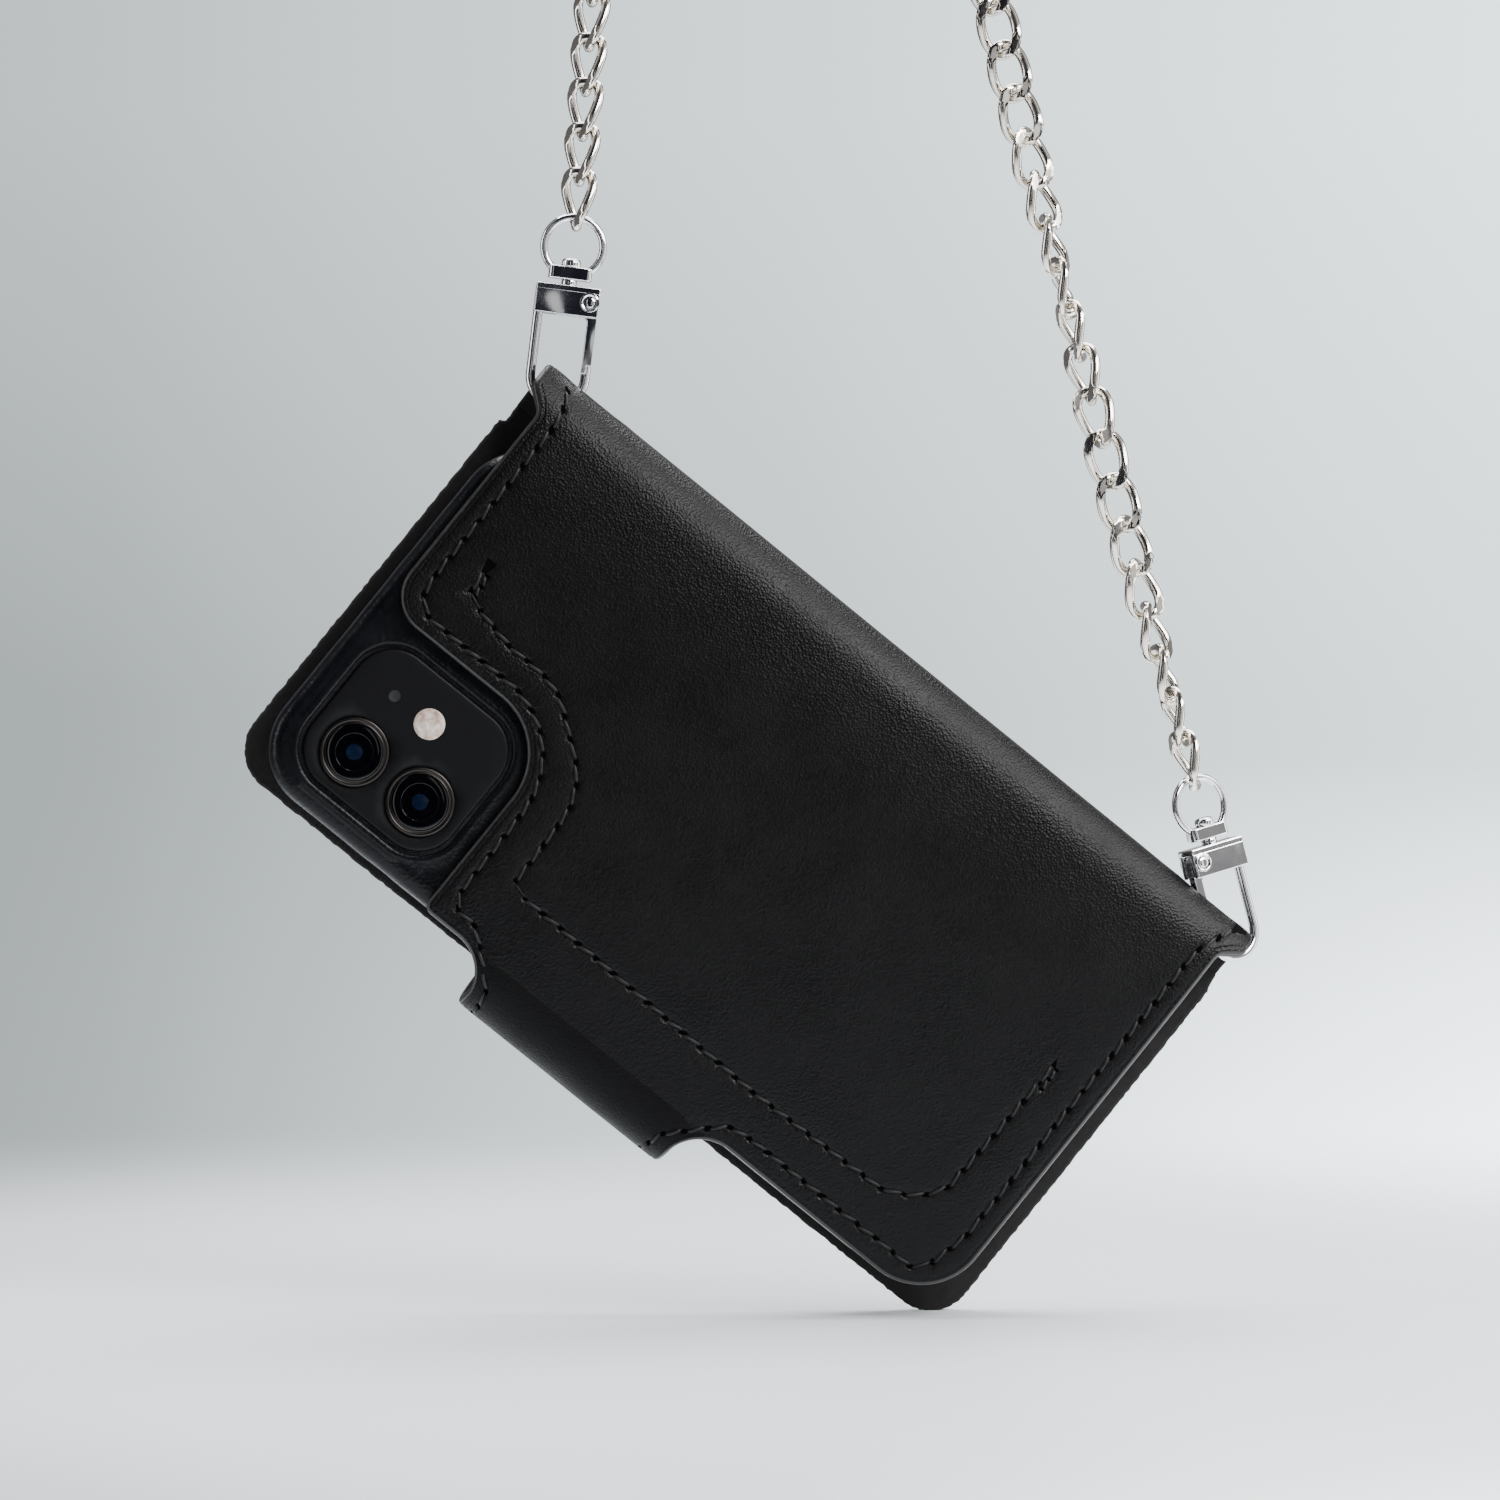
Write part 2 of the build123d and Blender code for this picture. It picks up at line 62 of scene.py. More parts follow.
# ---- the wallet, millimetres ----
OUT = 8.5                    # half thickness of the closed wallet
STRAP_TURN = (91.75, 1.25)   # middle of the strap's turn, as V and W
STRAP_RADIUS = 9.75
PANEL_EDGE = 91.3
STRAP_ON_COVER = 27.0        # how far the strap's end reaches over the cover
HINGE_V = 8.65               # the cover's hinge, below the crest
SLOT_BACK = math.radians(103)   # the slots sit this far round the spine from the near panel
SLOT_MIDDLE = 73.7
SLOT_HALF = (6.5, 2.5)
STITCH = 4.25

JOINTS = {j["name"]: j for j in frame["joints"]}


def joint_line(name):
    joint = JOINTS[name]
    return Vector(joint["pos_m"]), Vector(joint["axis"]).normalized()


HINGE, ALONG = joint_line("cover_open")
THROUGH = Vector((0, 1, 0))
DOWN = THROUGH.cross(ALONG)
CREST = HINGE - (DOWN * HINGE_V + THROUGH * OUT) * MM


def wallet(u, v, w):
    """World place of a point in the wallet's own frame: along the spine, down, through."""
    return CREST + (ALONG * u + DOWN * v + THROUGH * w) * MM


def axes_matrix(origin, x, y, z):
    """From millimetres along three axes to the world."""
    turn = Matrix((x, y, z)).transposed().to_4x4()
    return Matrix.Translation(origin) @ turn @ Matrix.Scale(MM, 4)


# ---- materials ----

def new_node(tree, kind, *values):
    """New shader node, with values linked to its first inputs."""
    made = tree.nodes.new("ShaderNode" + kind)
    for value, socket in zip(values, made.inputs):
        tree.links.new(value, socket)
    return made


def map_range(tree, value, limits, to=(0.0, 1.0), kind="LINEAR"):
    """Turns limits[0]..limits[1] into to[0]..to[1]."""
    made = new_node(tree, "MapRange", value)
    made.interpolation_type = kind
    for key, number in zip(("From Min", "From Max", "To Min", "To Max"), (*limits, *to)):
        made.inputs[key].default_value = number
    return made.outputs["Result"]


def ramp(tree, value, stops):
    """Colours at the stops, given as (position, colour), as value goes from 0 to 1."""
    made = new_node(tree, "ValToRGB", value)
    elements = made.color_ramp.elements
    while len(elements) < len(stops):
        elements.new(0.5)
    for element, (at, shade) in zip(elements, stops):
        element.position = at
        element.color = (*shade, 1.0)
    return made.outputs["Color"]


class Paint:
    """A principled material with small helpers for its node tree."""

    def __init__(self, name, color, rough, metallic=0.0, **extra):
        self.mat = bpy.data.materials.new(name)
        self.mat.use_nodes = True
        self.tree = self.mat.node_tree
        self.shader = self.tree.nodes["Principled BSDF"]
        self.set("Base Color", (*color, 1.0))
        self.set("Roughness", rough)
        self.set("Metallic", metallic)
        for key, value in extra.items():
            self.set(key.replace("_", " "), value)
        self.place = new_node(self.tree, "TexCoord").outputs["Object"]
        self.normal = None

    def set(self, socket, value):
        self.shader.inputs[socket].default_value = value

    def node(self, kind, **settings):
        made = new_node(self.tree, kind)
        for key, value in settings.items():
            if hasattr(made, key):
                setattr(made, key, value)
            else:
                made.inputs[key.replace("_", " ")].default_value = value
        return made

    def link(self, a, b):
        self.tree.links.new(a, b)

    def noise(self, scale, detail=3.0, rough=0.55, distortion=0.0, stretch=None):
        made = self.node("TexNoise", Scale=scale, Detail=detail, Roughness=rough,
                         Distortion=distortion)
        self.link(self.stretched(stretch), made.inputs["Vector"])
        return made.outputs["Fac"]

    def cells(self, scale):
        made = self.node("TexVoronoi", Scale=scale)
        self.link(self.place, made.inputs["Vector"])
        return made.outputs["Distance"]

    def stretched(self, stretch):
        if stretch is None:
            return self.place
        made = self.node("Mapping", Scale=stretch)
        self.link(self.place, made.inputs["Vector"])
        return made.outputs["Vector"]

    def color(self, value, low, high, a, b):
        """Colours from a to b as value goes from low to high."""
        made = ramp(self.tree, value, ((low, a), (high, b)))
        self.link(made, self.shader.inputs["Base Color"])

    def rough(self, value, low, high, a, b):
        self.link(map_range(self.tree, value, (low, high), (a, b)), self.shader.inputs["Roughness"])

    def bump(self, value, strength, distance):
        made = self.node("Bump", Strength=strength, Distance=distance)
        self.link(value, made.inputs["Height"])
        if self.normal is not None:
            self.link(self.normal, made.inputs["Normal"])
        self.normal = made.outputs["Normal"]
        self.link(self.normal, self.shader.inputs["Normal"])


def leather(name, dark, light, rough, grain=2100.0, depth=0.00011, crease=0.00014,
            shine=0.17):
    """Pebbled grain over long soft creases, with uneven shine."""
    paint = Paint(name, dark, rough[0], Specular_IOR_Level=shine)
    paint.color(paint.noise(260.0, 6.0), 0.3, 0.72, dark, light)
    paint.rough(paint.noise(90.0, 4.0), 0.3, 0.7, *rough)
    paint.bump(paint.noise(120.0, 5.0, 0.6, 1.2), 0.35, crease)
    paint.bump(paint.cells(grain), 0.8, depth)
    paint.bump(paint.noise(3800.0, 2.0), 0.3, 0.00006)
    return paint.mat


def fibre_edge(name, dark, light, rough, shine=0.5):
    paint = Paint(name, dark, rough[0], Specular_IOR_Level=shine)
    fibres = paint.noise(900.0, 6.0, 0.7, 0.6, (1.0, 3.0, 1.0))
    paint.color(fibres, 0.3, 0.75, dark, light)
    paint.rough(fibres, 0.3, 0.7, *rough)
    paint.bump(fibres, 0.5, 0.00008)
    return paint.mat


def suede(name, dark, light):
    paint = Paint(name, dark, 0.85, Sheen_Weight=0.08, Sheen_Roughness=0.6,
                  Specular_IOR_Level=0.2)
    paint.color(paint.noise(500.0, 8.0, 0.7), 0.3, 0.75, dark, light)
    paint.rough(paint.noise(150.0, 4.0), 0.3, 0.7, 0.78, 0.92)
    paint.bump(paint.noise(2600.0, 5.0, 0.75), 0.5, 0.00006)
    return paint.mat


def metal(name, color, rough, worn=0.05, scratch=0.000006, wave=0.0):
    paint = Paint(name, color, rough[0], 1.0)
    haze = paint.noise(220.0, 5.0, 0.6)
    low = tuple(c * (1.0 - worn) for c in color)
    paint.color(haze, 0.35, 0.7, low, color)
    paint.rough(haze, 0.35, 0.7, *rough)
    if wave:
        paint.bump(paint.noise(85.0, 1.0), 0.6, wave)
    paint.bump(paint.noise(900.0, 4.0, 0.7, 0.4, (1.0, 1.0, 0.15)), 0.25, scratch)
    return paint.mat


def glossy(name, dark, light, rough, coat=0.0, scale=300.0, depth=0.00001, shine=0.5):
    paint = Paint(name, dark, rough[0], Specular_IOR_Level=shine, Coat_Weight=coat,
                  Coat_Roughness=0.03)
    smear = paint.noise(scale, 5.0, 0.6)
    paint.color(smear, 0.35, 0.7, dark, light)
    paint.rough(smear, 0.3, 0.7, *rough)
    paint.bump(smear, 0.15, depth)
    return paint.mat


GRAIN = leather("grain leather", (0.0009, 0.0008, 0.0010), (0.0016, 0.0014, 0.0017), (0.34, 0.43))
STRAP_GRAIN = leather("strap leather", (0.0010, 0.0009, 0.0011), (0.0018, 0.0016, 0.0019),
                      (0.45, 0.55), shine=0.1)
LINING = suede("lining leather", (0.005, 0.0045, 0.0045), (0.012, 0.0105, 0.010))
EDGE = fibre_edge("burnished edge", (0.005, 0.0045, 0.0045), (0.018, 0.016, 0.015), (0.3, 0.45))
RAW_EDGE = fibre_edge("raw edge", (0.006, 0.006, 0.006), (0.02, 0.019, 0.018), (0.7, 0.9))
# near-black paint on the faces round each stitch pit: painted shade of the holes
HOLE_SHADE = fibre_edge("stitch hole painted shade", (0.0004, 0.0004, 0.0004), (0.001, 0.001, 0.001), (0.85, 0.95),
                  0.05)
THREAD = fibre_edge("waxed thread", (0.003, 0.0028, 0.003), (0.009, 0.0086, 0.009), (0.4, 0.6),
                    0.3)
CASE_SKIN = leather("case leather", (0.0018, 0.0020, 0.0028), (0.0036, 0.0040, 0.0055), (0.22, 0.38),
                    1300.0, 0.00006, 0.0007)
SILVER = metal("chain silver", (0.80, 0.755, 0.68), (0.09, 0.18))
CHROME = metal("clasp chrome", (0.84, 0.84, 0.85), (0.05, 0.11), 0.03, wave=0.0012)
STEEL = metal("spring steel", (0.52, 0.52, 0.54), (0.25, 0.4))
SHELL = glossy("phone shell", (0.012, 0.012, 0.013), (0.018, 0.018, 0.019), (0.18, 0.28), 0.3)
SCREEN = glossy("screen glass", (0.003, 0.003, 0.0035), (0.005, 0.005, 0.006), (0.03, 0.07), 1.0)
PLATE = glossy("camera plate", (0.0015, 0.0015, 0.0022), (0.0022, 0.0022, 0.0030), (0.40, 0.48),
               scale=2500.0, shine=0.2)
LENS_METAL = metal("lens ring metal", (0.040, 0.036, 0.034), (0.28, 0.4))
LENS_GLASS = glossy("lens glass", (0.0006, 0.0006, 0.001), (0.001, 0.001, 0.002), (0.05, 0.09))
# painted bluish glint in the middle of each lens glass
LENS_GLINT = glossy("lens painted blue glint", (0.0015, 0.004, 0.012), (0.002, 0.006, 0.02), (0.12, 0.2))
FLASH = glossy("flash diffuser", (0.36, 0.24, 0.18), (0.80, 0.72, 0.66), (0.25, 0.4), 0.4, 700.0)
MESH_DARK = fibre_edge("microphone mesh", (0.001, 0.001, 0.001), (0.004, 0.004, 0.004), (0.6, 0.8))


# ---- meshes ----

def placed(name, data):
    """New object in the scene."""
    made = bpy.data.objects.new(name, data)
    bpy.context.scene.collection.objects.link(made)
    return made


def make_piece(name, points, faces, materials, indices=None, sharp=None):
    """Smooth mesh object from world points in metres."""
    mesh = bpy.data.meshes.new(name)
    mesh.from_pydata([tuple(p) for p in points], [], faces)
    for material in materials:
        mesh.materials.append(material)
    if indices is not None:
        mesh.polygons.foreach_set("material_index", indices)
    mesh.polygons.foreach_set("use_smooth", [True] * len(faces))
    if sharp is not None:
        mesh.set_sharp_from_angle(angle=math.radians(sharp))
    mesh.update()
    return placed(name, mesh)


def dress(made, slot, body, *nodes):
    """body is a body's name, or a function that is applied to the piece instead of attaching it."""
    if callable(body):
        body(made)
    else:
        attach(made, body)
    if nodes:
        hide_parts(*nodes)
    return made


# ---- flat outlines ----

def rounded(corners, step=0.7, run=1.5):
    """Closed outline from corners (x, y, radius), as evenly spaced points."""
    outline = []
    count = len(corners)
    for n in range(count):
        before = Vector(corners[n - 1][:2])
        here = Vector(corners[n][:2])
        after = Vector(corners[(n + 1) % count][:2])
        outline.extend(turn_points(before, here, after, corners[n][2], step))
    return filled(outline, run)


def turn_points(before, here, after, radius, step):
    back, ahead = (before - here).normalized(), (after - here).normalized()
    half = back.angle(ahead) / 2
    if radius <= 0 or half > math.radians(89.5):
        return [here]
    reach = radius / math.tan(half)
    middle = here + (back + ahead).normalized() * (radius / math.sin(half))
    first, last = here + back * reach, here + ahead * reach
    a0 = math.atan2(*(first - middle).yx)
    sweep = math.atan2(*(last - middle).yx) - a0
    sweep = (sweep + math.pi) % (2 * math.pi) - math.pi
    count = max(3, round(abs(sweep) * radius / step))
    arc = [a0 + sweep * k / count for k in range(count + 1)]
    return [middle + Vector((math.cos(a), math.sin(a))) * radius for a in arc]


def filled(outline, run, closed=True):
    """The same outline with its long runs divided."""
    points = []
    ends = outline[1:] + outline[:1] if closed else outline[1:]
    for a, b in zip(outline, ends):
        count = max(1, math.ceil((b - a).length / run))
        points.extend(a.lerp(b, k / count) for k in range(count))
    if not closed:
        points.append(outline[-1])
    return points


def path_points(corners, step=0.4):
    """Open line through corners (x, y, radius)."""
    line = [Vector(corners[0][:2])]
    for before, here, after in zip(corners, corners[1:], corners[2:]):
        line.extend(turn_points(*(Vector(c[:2]) for c in (before, here, after)), here[2], step))
    line.append(Vector(corners[-1][:2]))
    return filled(line, step, False)


def inward(outline):
    """Unit normals on the left of an outline, which is the material's side."""
    normals = []
    count = len(outline)
    for n in range(count):
        along = (outline[(n + 1) % count] - outline[n - 1]).normalized()
        normals.append(Vector((-along.y, along.x)))
    return normals


def inside(points, outlines):
    """Even-odd test of an (n, 2) array against closed outlines."""
    hit = np.zeros(len(points), bool)
    x, y = points[:, 0], points[:, 1]
    for outline in outlines:
        ring = np.array([tuple(p) for p in outline])
        for (x0, y0), (x1, y1) in zip(ring, np.roll(ring, -1, axis=0)):
            if y0 == y1:
                continue
            crosses = (y0 > y) != (y1 > y)
            hit ^= crosses & (x < (x1 - x0) * (y - y0) / (y1 - y0) + x0)
    return hit


def clear_of(points, others, distance):
    """Which of points are further than distance from every one of others."""
    if not len(others):
        return np.ones(len(points), bool)
    near = np.zeros(len(points), bool)
    for k in range(0, len(points), 400):
        part = points[k:k + 400]
        gap = np.linalg.norm(part[:, None, :] - others[None, :, :], axis=2)
        near[k:k + 400] = gap.min(axis=1) < distance
    return ~near


# ---- stitching ----

def stitch_holes(corners, pitch=STITCH):
    """Holes along a line as (place, direction), evenly spaced."""
    line = path_points(corners)
    reach = [0.0]
    for a, b in zip(line, line[1:]):
        reach.append(reach[-1] + (b - a).length)
    count = max(1, round(reach[-1] / pitch))
    holes, k = [], 0
    for n in range(count + 1):
        want = reach[-1] * n / count
        while k < len(line) - 2 and reach[k + 1] < want:
            k += 1
        share = (want - reach[k]) / max(reach[k + 1] - reach[k], 1e-6)
        place = line[k].lerp(line[k + 1], min(share, 1.0))
        ahead = line[min(k + 3, len(line) - 1)] - line[max(k - 2, 0)]
        holes.append((place, ahead.normalized()))
    return holes


GROOVE = ((0.0, -0.16), (0.55, -0.09), (-0.55, -0.09), (1.25, 0.0), (-1.25, 0.0))
HOLE_DEPTH = -0.75
# a thread's strand as (share of the way, height, width), sunk into the hole at both ends
STRAND = ((0.08, -0.5, 0.7), (0.17, -0.15, 0.95), (0.32, 0.08, 1.05), (0.5, 0.13, 1.1),
          (0.68, 0.08, 1.05), (0.83, -0.15, 0.95), (0.92, -0.5, 0.7))


def groove_points(runs):
    """Extra sheet points along stitch lines as (x, y, height, is hole)."""
    points = []
    for holes in runs:
        for n, (place, along) in enumerate(holes):
            points.extend(groove_row(place, along, True))
            if n + 1 < len(holes):
                after = holes[n + 1][0]
                for share in (0.2, 0.5, 0.8):
                    points.extend(groove_row(place.lerp(after, share), along, False))
    return points


def groove_row(place, along, is_hole):
    across = Vector((-along.y, along.x))
    row = []
    for offset, height in GROOVE:
        spot = place + across * offset
        pit = is_hole and offset == 0.0
        row.append((spot.x, spot.y, HOLE_DEPTH if pit else height, pit))
    return row


def threads(name, runs, fold, slant=0.36, radius=0.29):
    """One sunk-ended strand from each hole to the next."""
    points, faces = [], []
    sides = 6
    for holes in runs:
        for (a, along), (b, _) in zip(holes, holes[1:]):
            across = Vector((-along.y, along.x))
            slant_here = slant * DICE.uniform(0.7, 1.3)
            first = len(points)
            for share, height, width in STRAND:
                spot = a.lerp(b, share) + across * (slant_here * (1 - 2 * share))
                place, out = fold(spot.x, spot.y)
                tangent = strand_tangent(fold, spot, along)
                beside = tangent.cross(out).normalized()
                for cosine, sine in circle(sides):
                    off = beside * cosine + out * (0.75 * sine)
                    points.append(place + (out * height + off * (radius * width)) * MM)
            faces.extend(tube_faces(first, len(STRAND), sides))
    return make_piece(name, points, faces, [THREAD])


def strand_tangent(fold, spot, along):
    ahead = spot + along * 0.3
    return (fold(ahead.x, ahead.y)[0] - fold(spot.x, spot.y)[0]).normalized()


def circle(sides):
    """Cosine and sine of evenly spaced angles."""
    angles = (2 * math.pi * k / sides for k in range(sides))
    return [(math.cos(angle), math.sin(angle)) for angle in angles]


def ring_faces(a, b, count):
    return [[a + k, a + (k + 1) % count, b + (k + 1) % count, b + k] for k in range(count)]


def tube_faces(first, rings, sides):
    """Walls, then both ends, of a bar whose rings of points follow one another."""
    faces = []
    for n in range(rings - 1):
        faces.extend(ring_faces(first + n * sides, first + (n + 1) * sides, sides))
    faces.append([first + k for k in range(sides)][::-1])
    last = first + (rings - 1) * sides
    faces.append([last + k for k in range(sides)])
    return faces


def loop_faces(rings, sides):
    """Walls of a bar that closes on itself."""
    faces = []
    for n in range(rings):
        faces.extend(ring_faces(n * sides, (n + 1) % rings * sides, sides))
    return faces


# ---- sheets ----

# edge profile as (inset, depth, face material): creased line, rounding, two layers, a groove
SHEET_EDGE = (
    (1.7, 0.0, 0), (1.48, 0.03, 0), (1.28, 0.13, 0), (1.08, 0.05, 0), (0.6, 0.12, 0),
    (0.28, 0.28, 1), (0.08, 0.55, 1), (0.0, 0.85, 1), (0.08, 1.08, 1), (0.2, 1.2, 1),
    (0.06, 1.34, 1), (0.0, 1.6, 1), (0.06, 1.95, 1), (0.3, 2.16, 2), (0.75, 2.2, 2),
)


def sheet(name, outlines, fold, materials, profiles, stitches=(), grid=2.2, wave=0.06,
          rim_noise=0.0):
    """Closed solid of leather. outlines: the outer one runs anticlockwise, holes clockwise.
    fold(x, y) gives the world place and outward direction of a point of the grain side."""
    points, faces, slots = [], [], []
    tops, bottoms = [], []
    for outline, profile in zip(outlines, profiles):
        normals = inward(outline)
        shake = [DICE.uniform(-rim_noise, rim_noise) for _ in outline]
        rings = []
        for inset, depth, _ in profile:
            ring = [p + n * (inset + s * (0.75 - inset)) for p, n, s in zip(outline, normals, shake)]
            rings.append((range(len(points), len(points) + len(ring)), ring))
            for spot in ring:
                lift = ripple(spot, wave) if depth == 0.0 else 0.0
                points.append(folded(fold, spot, lift - depth))
        for (a, _), (b, _), row in zip(rings, rings[1:], profile[1:]):
            for k in range(len(a)):
                j = (k + 1) % len(a)
                faces.append([a[k], a[j], b[j], b[k]])
                slots.append(row[2])
        tops.append(rings[0])
        bottoms.append(rings[-1])
    extra = groove_points(stitches)
    fill_side(points, faces, slots, tops, extra, grid, fold, 0.0, 0, wave)
    depth = profiles[0][-1][1]
    fill_side(points, faces, slots, bottoms, [], grid * 1.3, fold, depth, 2, 0.0)
    made = make_piece(name, points, faces, materials, slots)
    fix_normals(made)
    return made


def folded(fold, spot, lift):
    place, out = fold(spot[0], spot[1])
    return place + out * (lift * MM)


def ripple(spot, wave):
    """Slow unevenness of hand-cut leather."""
    if not wave:
        return 0.0
    return wave * noise.noise(Vector((spot[0] / 14.0, spot[1] / 14.0, 3.1)))


def fill_side(points, faces, slots, rings, extra, grid, fold, depth, slot, wave):
    """Triangles between the rings of one side, through a loose grid and any extra points."""
    outlines = [ring for _, ring in rings]
    edge, indices, links = [], [], []
    for ids, ring in rings:
        start = len(edge)
        edge.extend(tuple(p) for p in ring)
        indices.extend(ids)
        links.extend((start + k, start + (k + 1) % len(ring)) for k in range(len(ring)))
    rim = np.array(edge)
    spots = hex_grid(rim, grid)
    spots = spots[inside(spots, outlines)]
    spots = spots[clear_of(spots, rim, grid * 0.6)]
    inner = [(x, y, 0.0, False) for x, y in spots]
    if extra:
        rows = np.array([e[:2] for e in extra])
        keep = inside(rows, outlines) & clear_of(rows, rim, 0.35)
        extra = thinned([e for e, k in zip(extra, keep) if k])
        free = clear_of(spots, np.array([e[:2] for e in extra]), 1.0)
        inner = [i for i, k in zip(inner, free) if k] + extra
    coords = [Vector(p) for p in edge] + [Vector(i[:2]) for i in inner]
    found = geometry.delaunay_2d_cdt(coords, links, [], 0, 1e-5)
    where, _, triangles, origins = found[:4]
    names, pits = {}, set()
    for k, place in enumerate(where):
        source = origins[k][0] if origins[k] else None
        if source is not None and source < len(indices):
            names[k] = indices[source]
            continue
        height, pit = 0.0, False
        if source is not None:
            height, pit = inner[source - len(indices)][2:]
        lift = ripple(place, wave) + height
        names[k] = len(points)
        points.append(folded(fold, place, lift - depth))
        if pit:
            pits.add(names[k])
    centres = np.array([sum((where[i] for i in t), Vector((0, 0))) / len(t) for t in triangles])
    keep = inside(centres, outlines)
    for triangle, wanted in zip(triangles, keep):
        if wanted:
            face = [names[i] for i in triangle]
            faces.append(face if depth == 0.0 else face[::-1])
            # faces touching a stitch pit take slot 3, the painted shade of the hole
            slots.append(3 if pits.intersection(face) else slot)


def hex_grid(rim, grid):
    (x0, y0), (x1, y1) = rim.min(axis=0), rim.max(axis=0)
    rows = np.arange(y0, y1, grid * 0.866)
    spots = []
    for k, y in enumerate(rows):
        xs = np.arange(x0 + (grid / 2 if k % 2 else 0.0), x1, grid)
        spots.append(np.column_stack([xs, np.full(len(xs), y)]))
    return np.concatenate(spots)


def thinned(extra, gap=0.4):
    """One groove point for each small square of the sheet; holes are kept first."""
    kept, cells = [], set()
    for spot in sorted(extra, key=lambda e: not e[3]):
        cell = (round(spot[0] / gap), round(spot[1] / gap))
        if cell not in cells:
            kept.append(spot)
            cells.add(cell)
    return kept


def fix_normals(made):
    work = bmesh.new()
    work.from_mesh(made.data)
    bmesh.ops.recalc_face_normals(work, faces=work.faces)
    work.to_mesh(made.data)
    work.free()


# ---- folding ----

def front_fold(u, s):
    """Near panel, spine and strap: s runs from the panel's top towards the strap's tip."""
    turn_v, turn_w = STRAP_TURN
    flat = turn_v - OUT
    if s < 0:
        share = s / BACK
        angle = SPINE_START + (SPINE_STOP - SPINE_START) * share
        v = SPINE_MIDDLE[0] - SPINE_RADII[0] * math.sin(angle)
        w = SPINE_MIDDLE[1] - SPINE_RADII[1] * math.cos(angle)
        out = DOWN * -math.sin(angle) + THROUGH * -math.cos(angle)
    elif s <= flat:
        rest = max(0.0, 1.0 - s / EASE_LONG)
        lift = PILLOW * min(1.0, (flat - s) / EASE_LONG)
        v, w = OUT + s, -OUT - lift + EASE * rest ** 2
        out = (DOWN * (-2 * EASE * rest / EASE_LONG) - THROUGH).normalized()
    elif s <= flat + math.pi * STRAP_RADIUS:
        angle = (s - flat) / STRAP_RADIUS
        v = turn_v + STRAP_RADIUS * math.sin(angle)
        w = turn_w - STRAP_RADIUS * math.cos(angle)
        out = DOWN * math.sin(angle) + THROUGH * -math.cos(angle)
    else:
        v = turn_v - (s - flat - math.pi * STRAP_RADIUS)
        w, out = turn_w + STRAP_RADIUS, THROUGH
    return wallet(u, v, w), out


# the panel eases into the spine, which is a little deeper than it is wide
EASE = 0.9
EASE_LONG = 17.0
PILLOW = 0.4
SPINE_START = math.radians(6.0)
SPINE_STOP = math.radians(173.5)
SPINE_RADII = (10.5, 8.26)
SPINE_MIDDLE = (9.6, 0.22)


def flat_fold(w, out):
    """Lays a sheet flat at one depth, with its grain side facing out."""
    return lambda u, v: (wallet(u, v, w), out)


def s_of(v):
    return v - OUT


BACK = -math.pi * OUT
TIP = STRAP_TURN[0] - OUT + math.pi * STRAP_RADIUS + STRAP_ON_COVER
SLOT_S = -OUT * SLOT_BACK


def front_outline():
    edge = s_of(PANEL_EDGE)
    cut = s_of(52.9)
    return rounded([
        (-84.3, BACK, 0), (84.3, BACK, 0), (84.3, -5.4, 2.0), (80.3, -2.0, 2.2),
        (80.3, edge, 13.0), (23.75, edge, 8.0), (23.75, TIP, 3.0), (-23.75, TIP, 3.0),
        (-23.75, edge + 0.6, 8.0), (-40.0, edge + 0.6, 1.9), (-40.0, cut, 13.0),
        (-80.5, cut, 7.5), (-80.5, -0.5, 2.6), (-84.8, -4.2, 2.0), (-84.8, -11.0, 4.0),
    ])


def slot_outline(side):
    half_long, half_wide = SLOT_HALF
    middle = side * SLOT_MIDDLE
    corners = [(middle + x * half_long, SLOT_S + y * half_wide, half_wide * 0.98)
               for x, y in ((-1, -1), (-1, 1), (1, 1), (1, -1))]
    return rounded(corners, 0.5, 1.0)


# ---- leather pieces ----


def strap_blend(made):
    """Bakes the piece's placement into its mesh."""
    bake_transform(made)


def cover_blend(made):
    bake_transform(made)


OUTER_LINE = [
    (-78.8, -7.6, 0), (-76.7, -2.0, 4.0), (-76.4, s_of(49.9), 5.0), (-37.0, s_of(49.9), 17.0),
    (-36.4, s_of(88.0), 0.6), (-30.6, s_of(88.0), 6.0), (-20.6, s_of(97.0), 6.0),
    (-20.3, s_of(91.75) + 13.5, 0),
]
OUTER_LINE_RIGHT = [
    (19.6, s_of(91.75) + 13.5, 0), (20.0, s_of(97.0), 6.0), (29.6, s_of(87.2), 6.0),
    (73.6, s_of(87.0), 2.6), (76.1, s_of(76.0), 9.0), (76.3, 0.5, 5.0), (80.2, -8.2, 0),
]
INNER_LINE = [
    (-69.9, s_of(37.0), 0), (-69.5, s_of(42.2), 0.5), (-58.0, s_of(44.6), 6.0),
    (-46.0, s_of(45.0), 12.0), (-30.4, s_of(57.0), 14.0), (-29.8, s_of(78.7), 0.5),
    (30.0, s_of(80.2), 60.0), (60.0, s_of(79.2), 8.0), (67.8, s_of(73.0), 6.0),
    (69.0, s_of(41.6), 0),
]
LOCK_LEFT = [(-68.9, s_of(37.2), 0), (-68.5, s_of(41.6), 0)]
LOCK_RIGHT = [(69.9, s_of(41.9), 0), (69.9, s_of(46.4), 0)]


STRAP_FROM = 92.0


def shade_strap(made):
    """The strap's leather is duller than the panel's."""
    mesh = made.data
    mesh.materials.append(STRAP_GRAIN)
    strap = len(mesh.materials) - 1
    for face in mesh.polygons:
        away = (face.center - CREST) / MM
        if face.material_index == 0 and away.dot(DOWN) > STRAP_FROM:
            face.material_index = strap


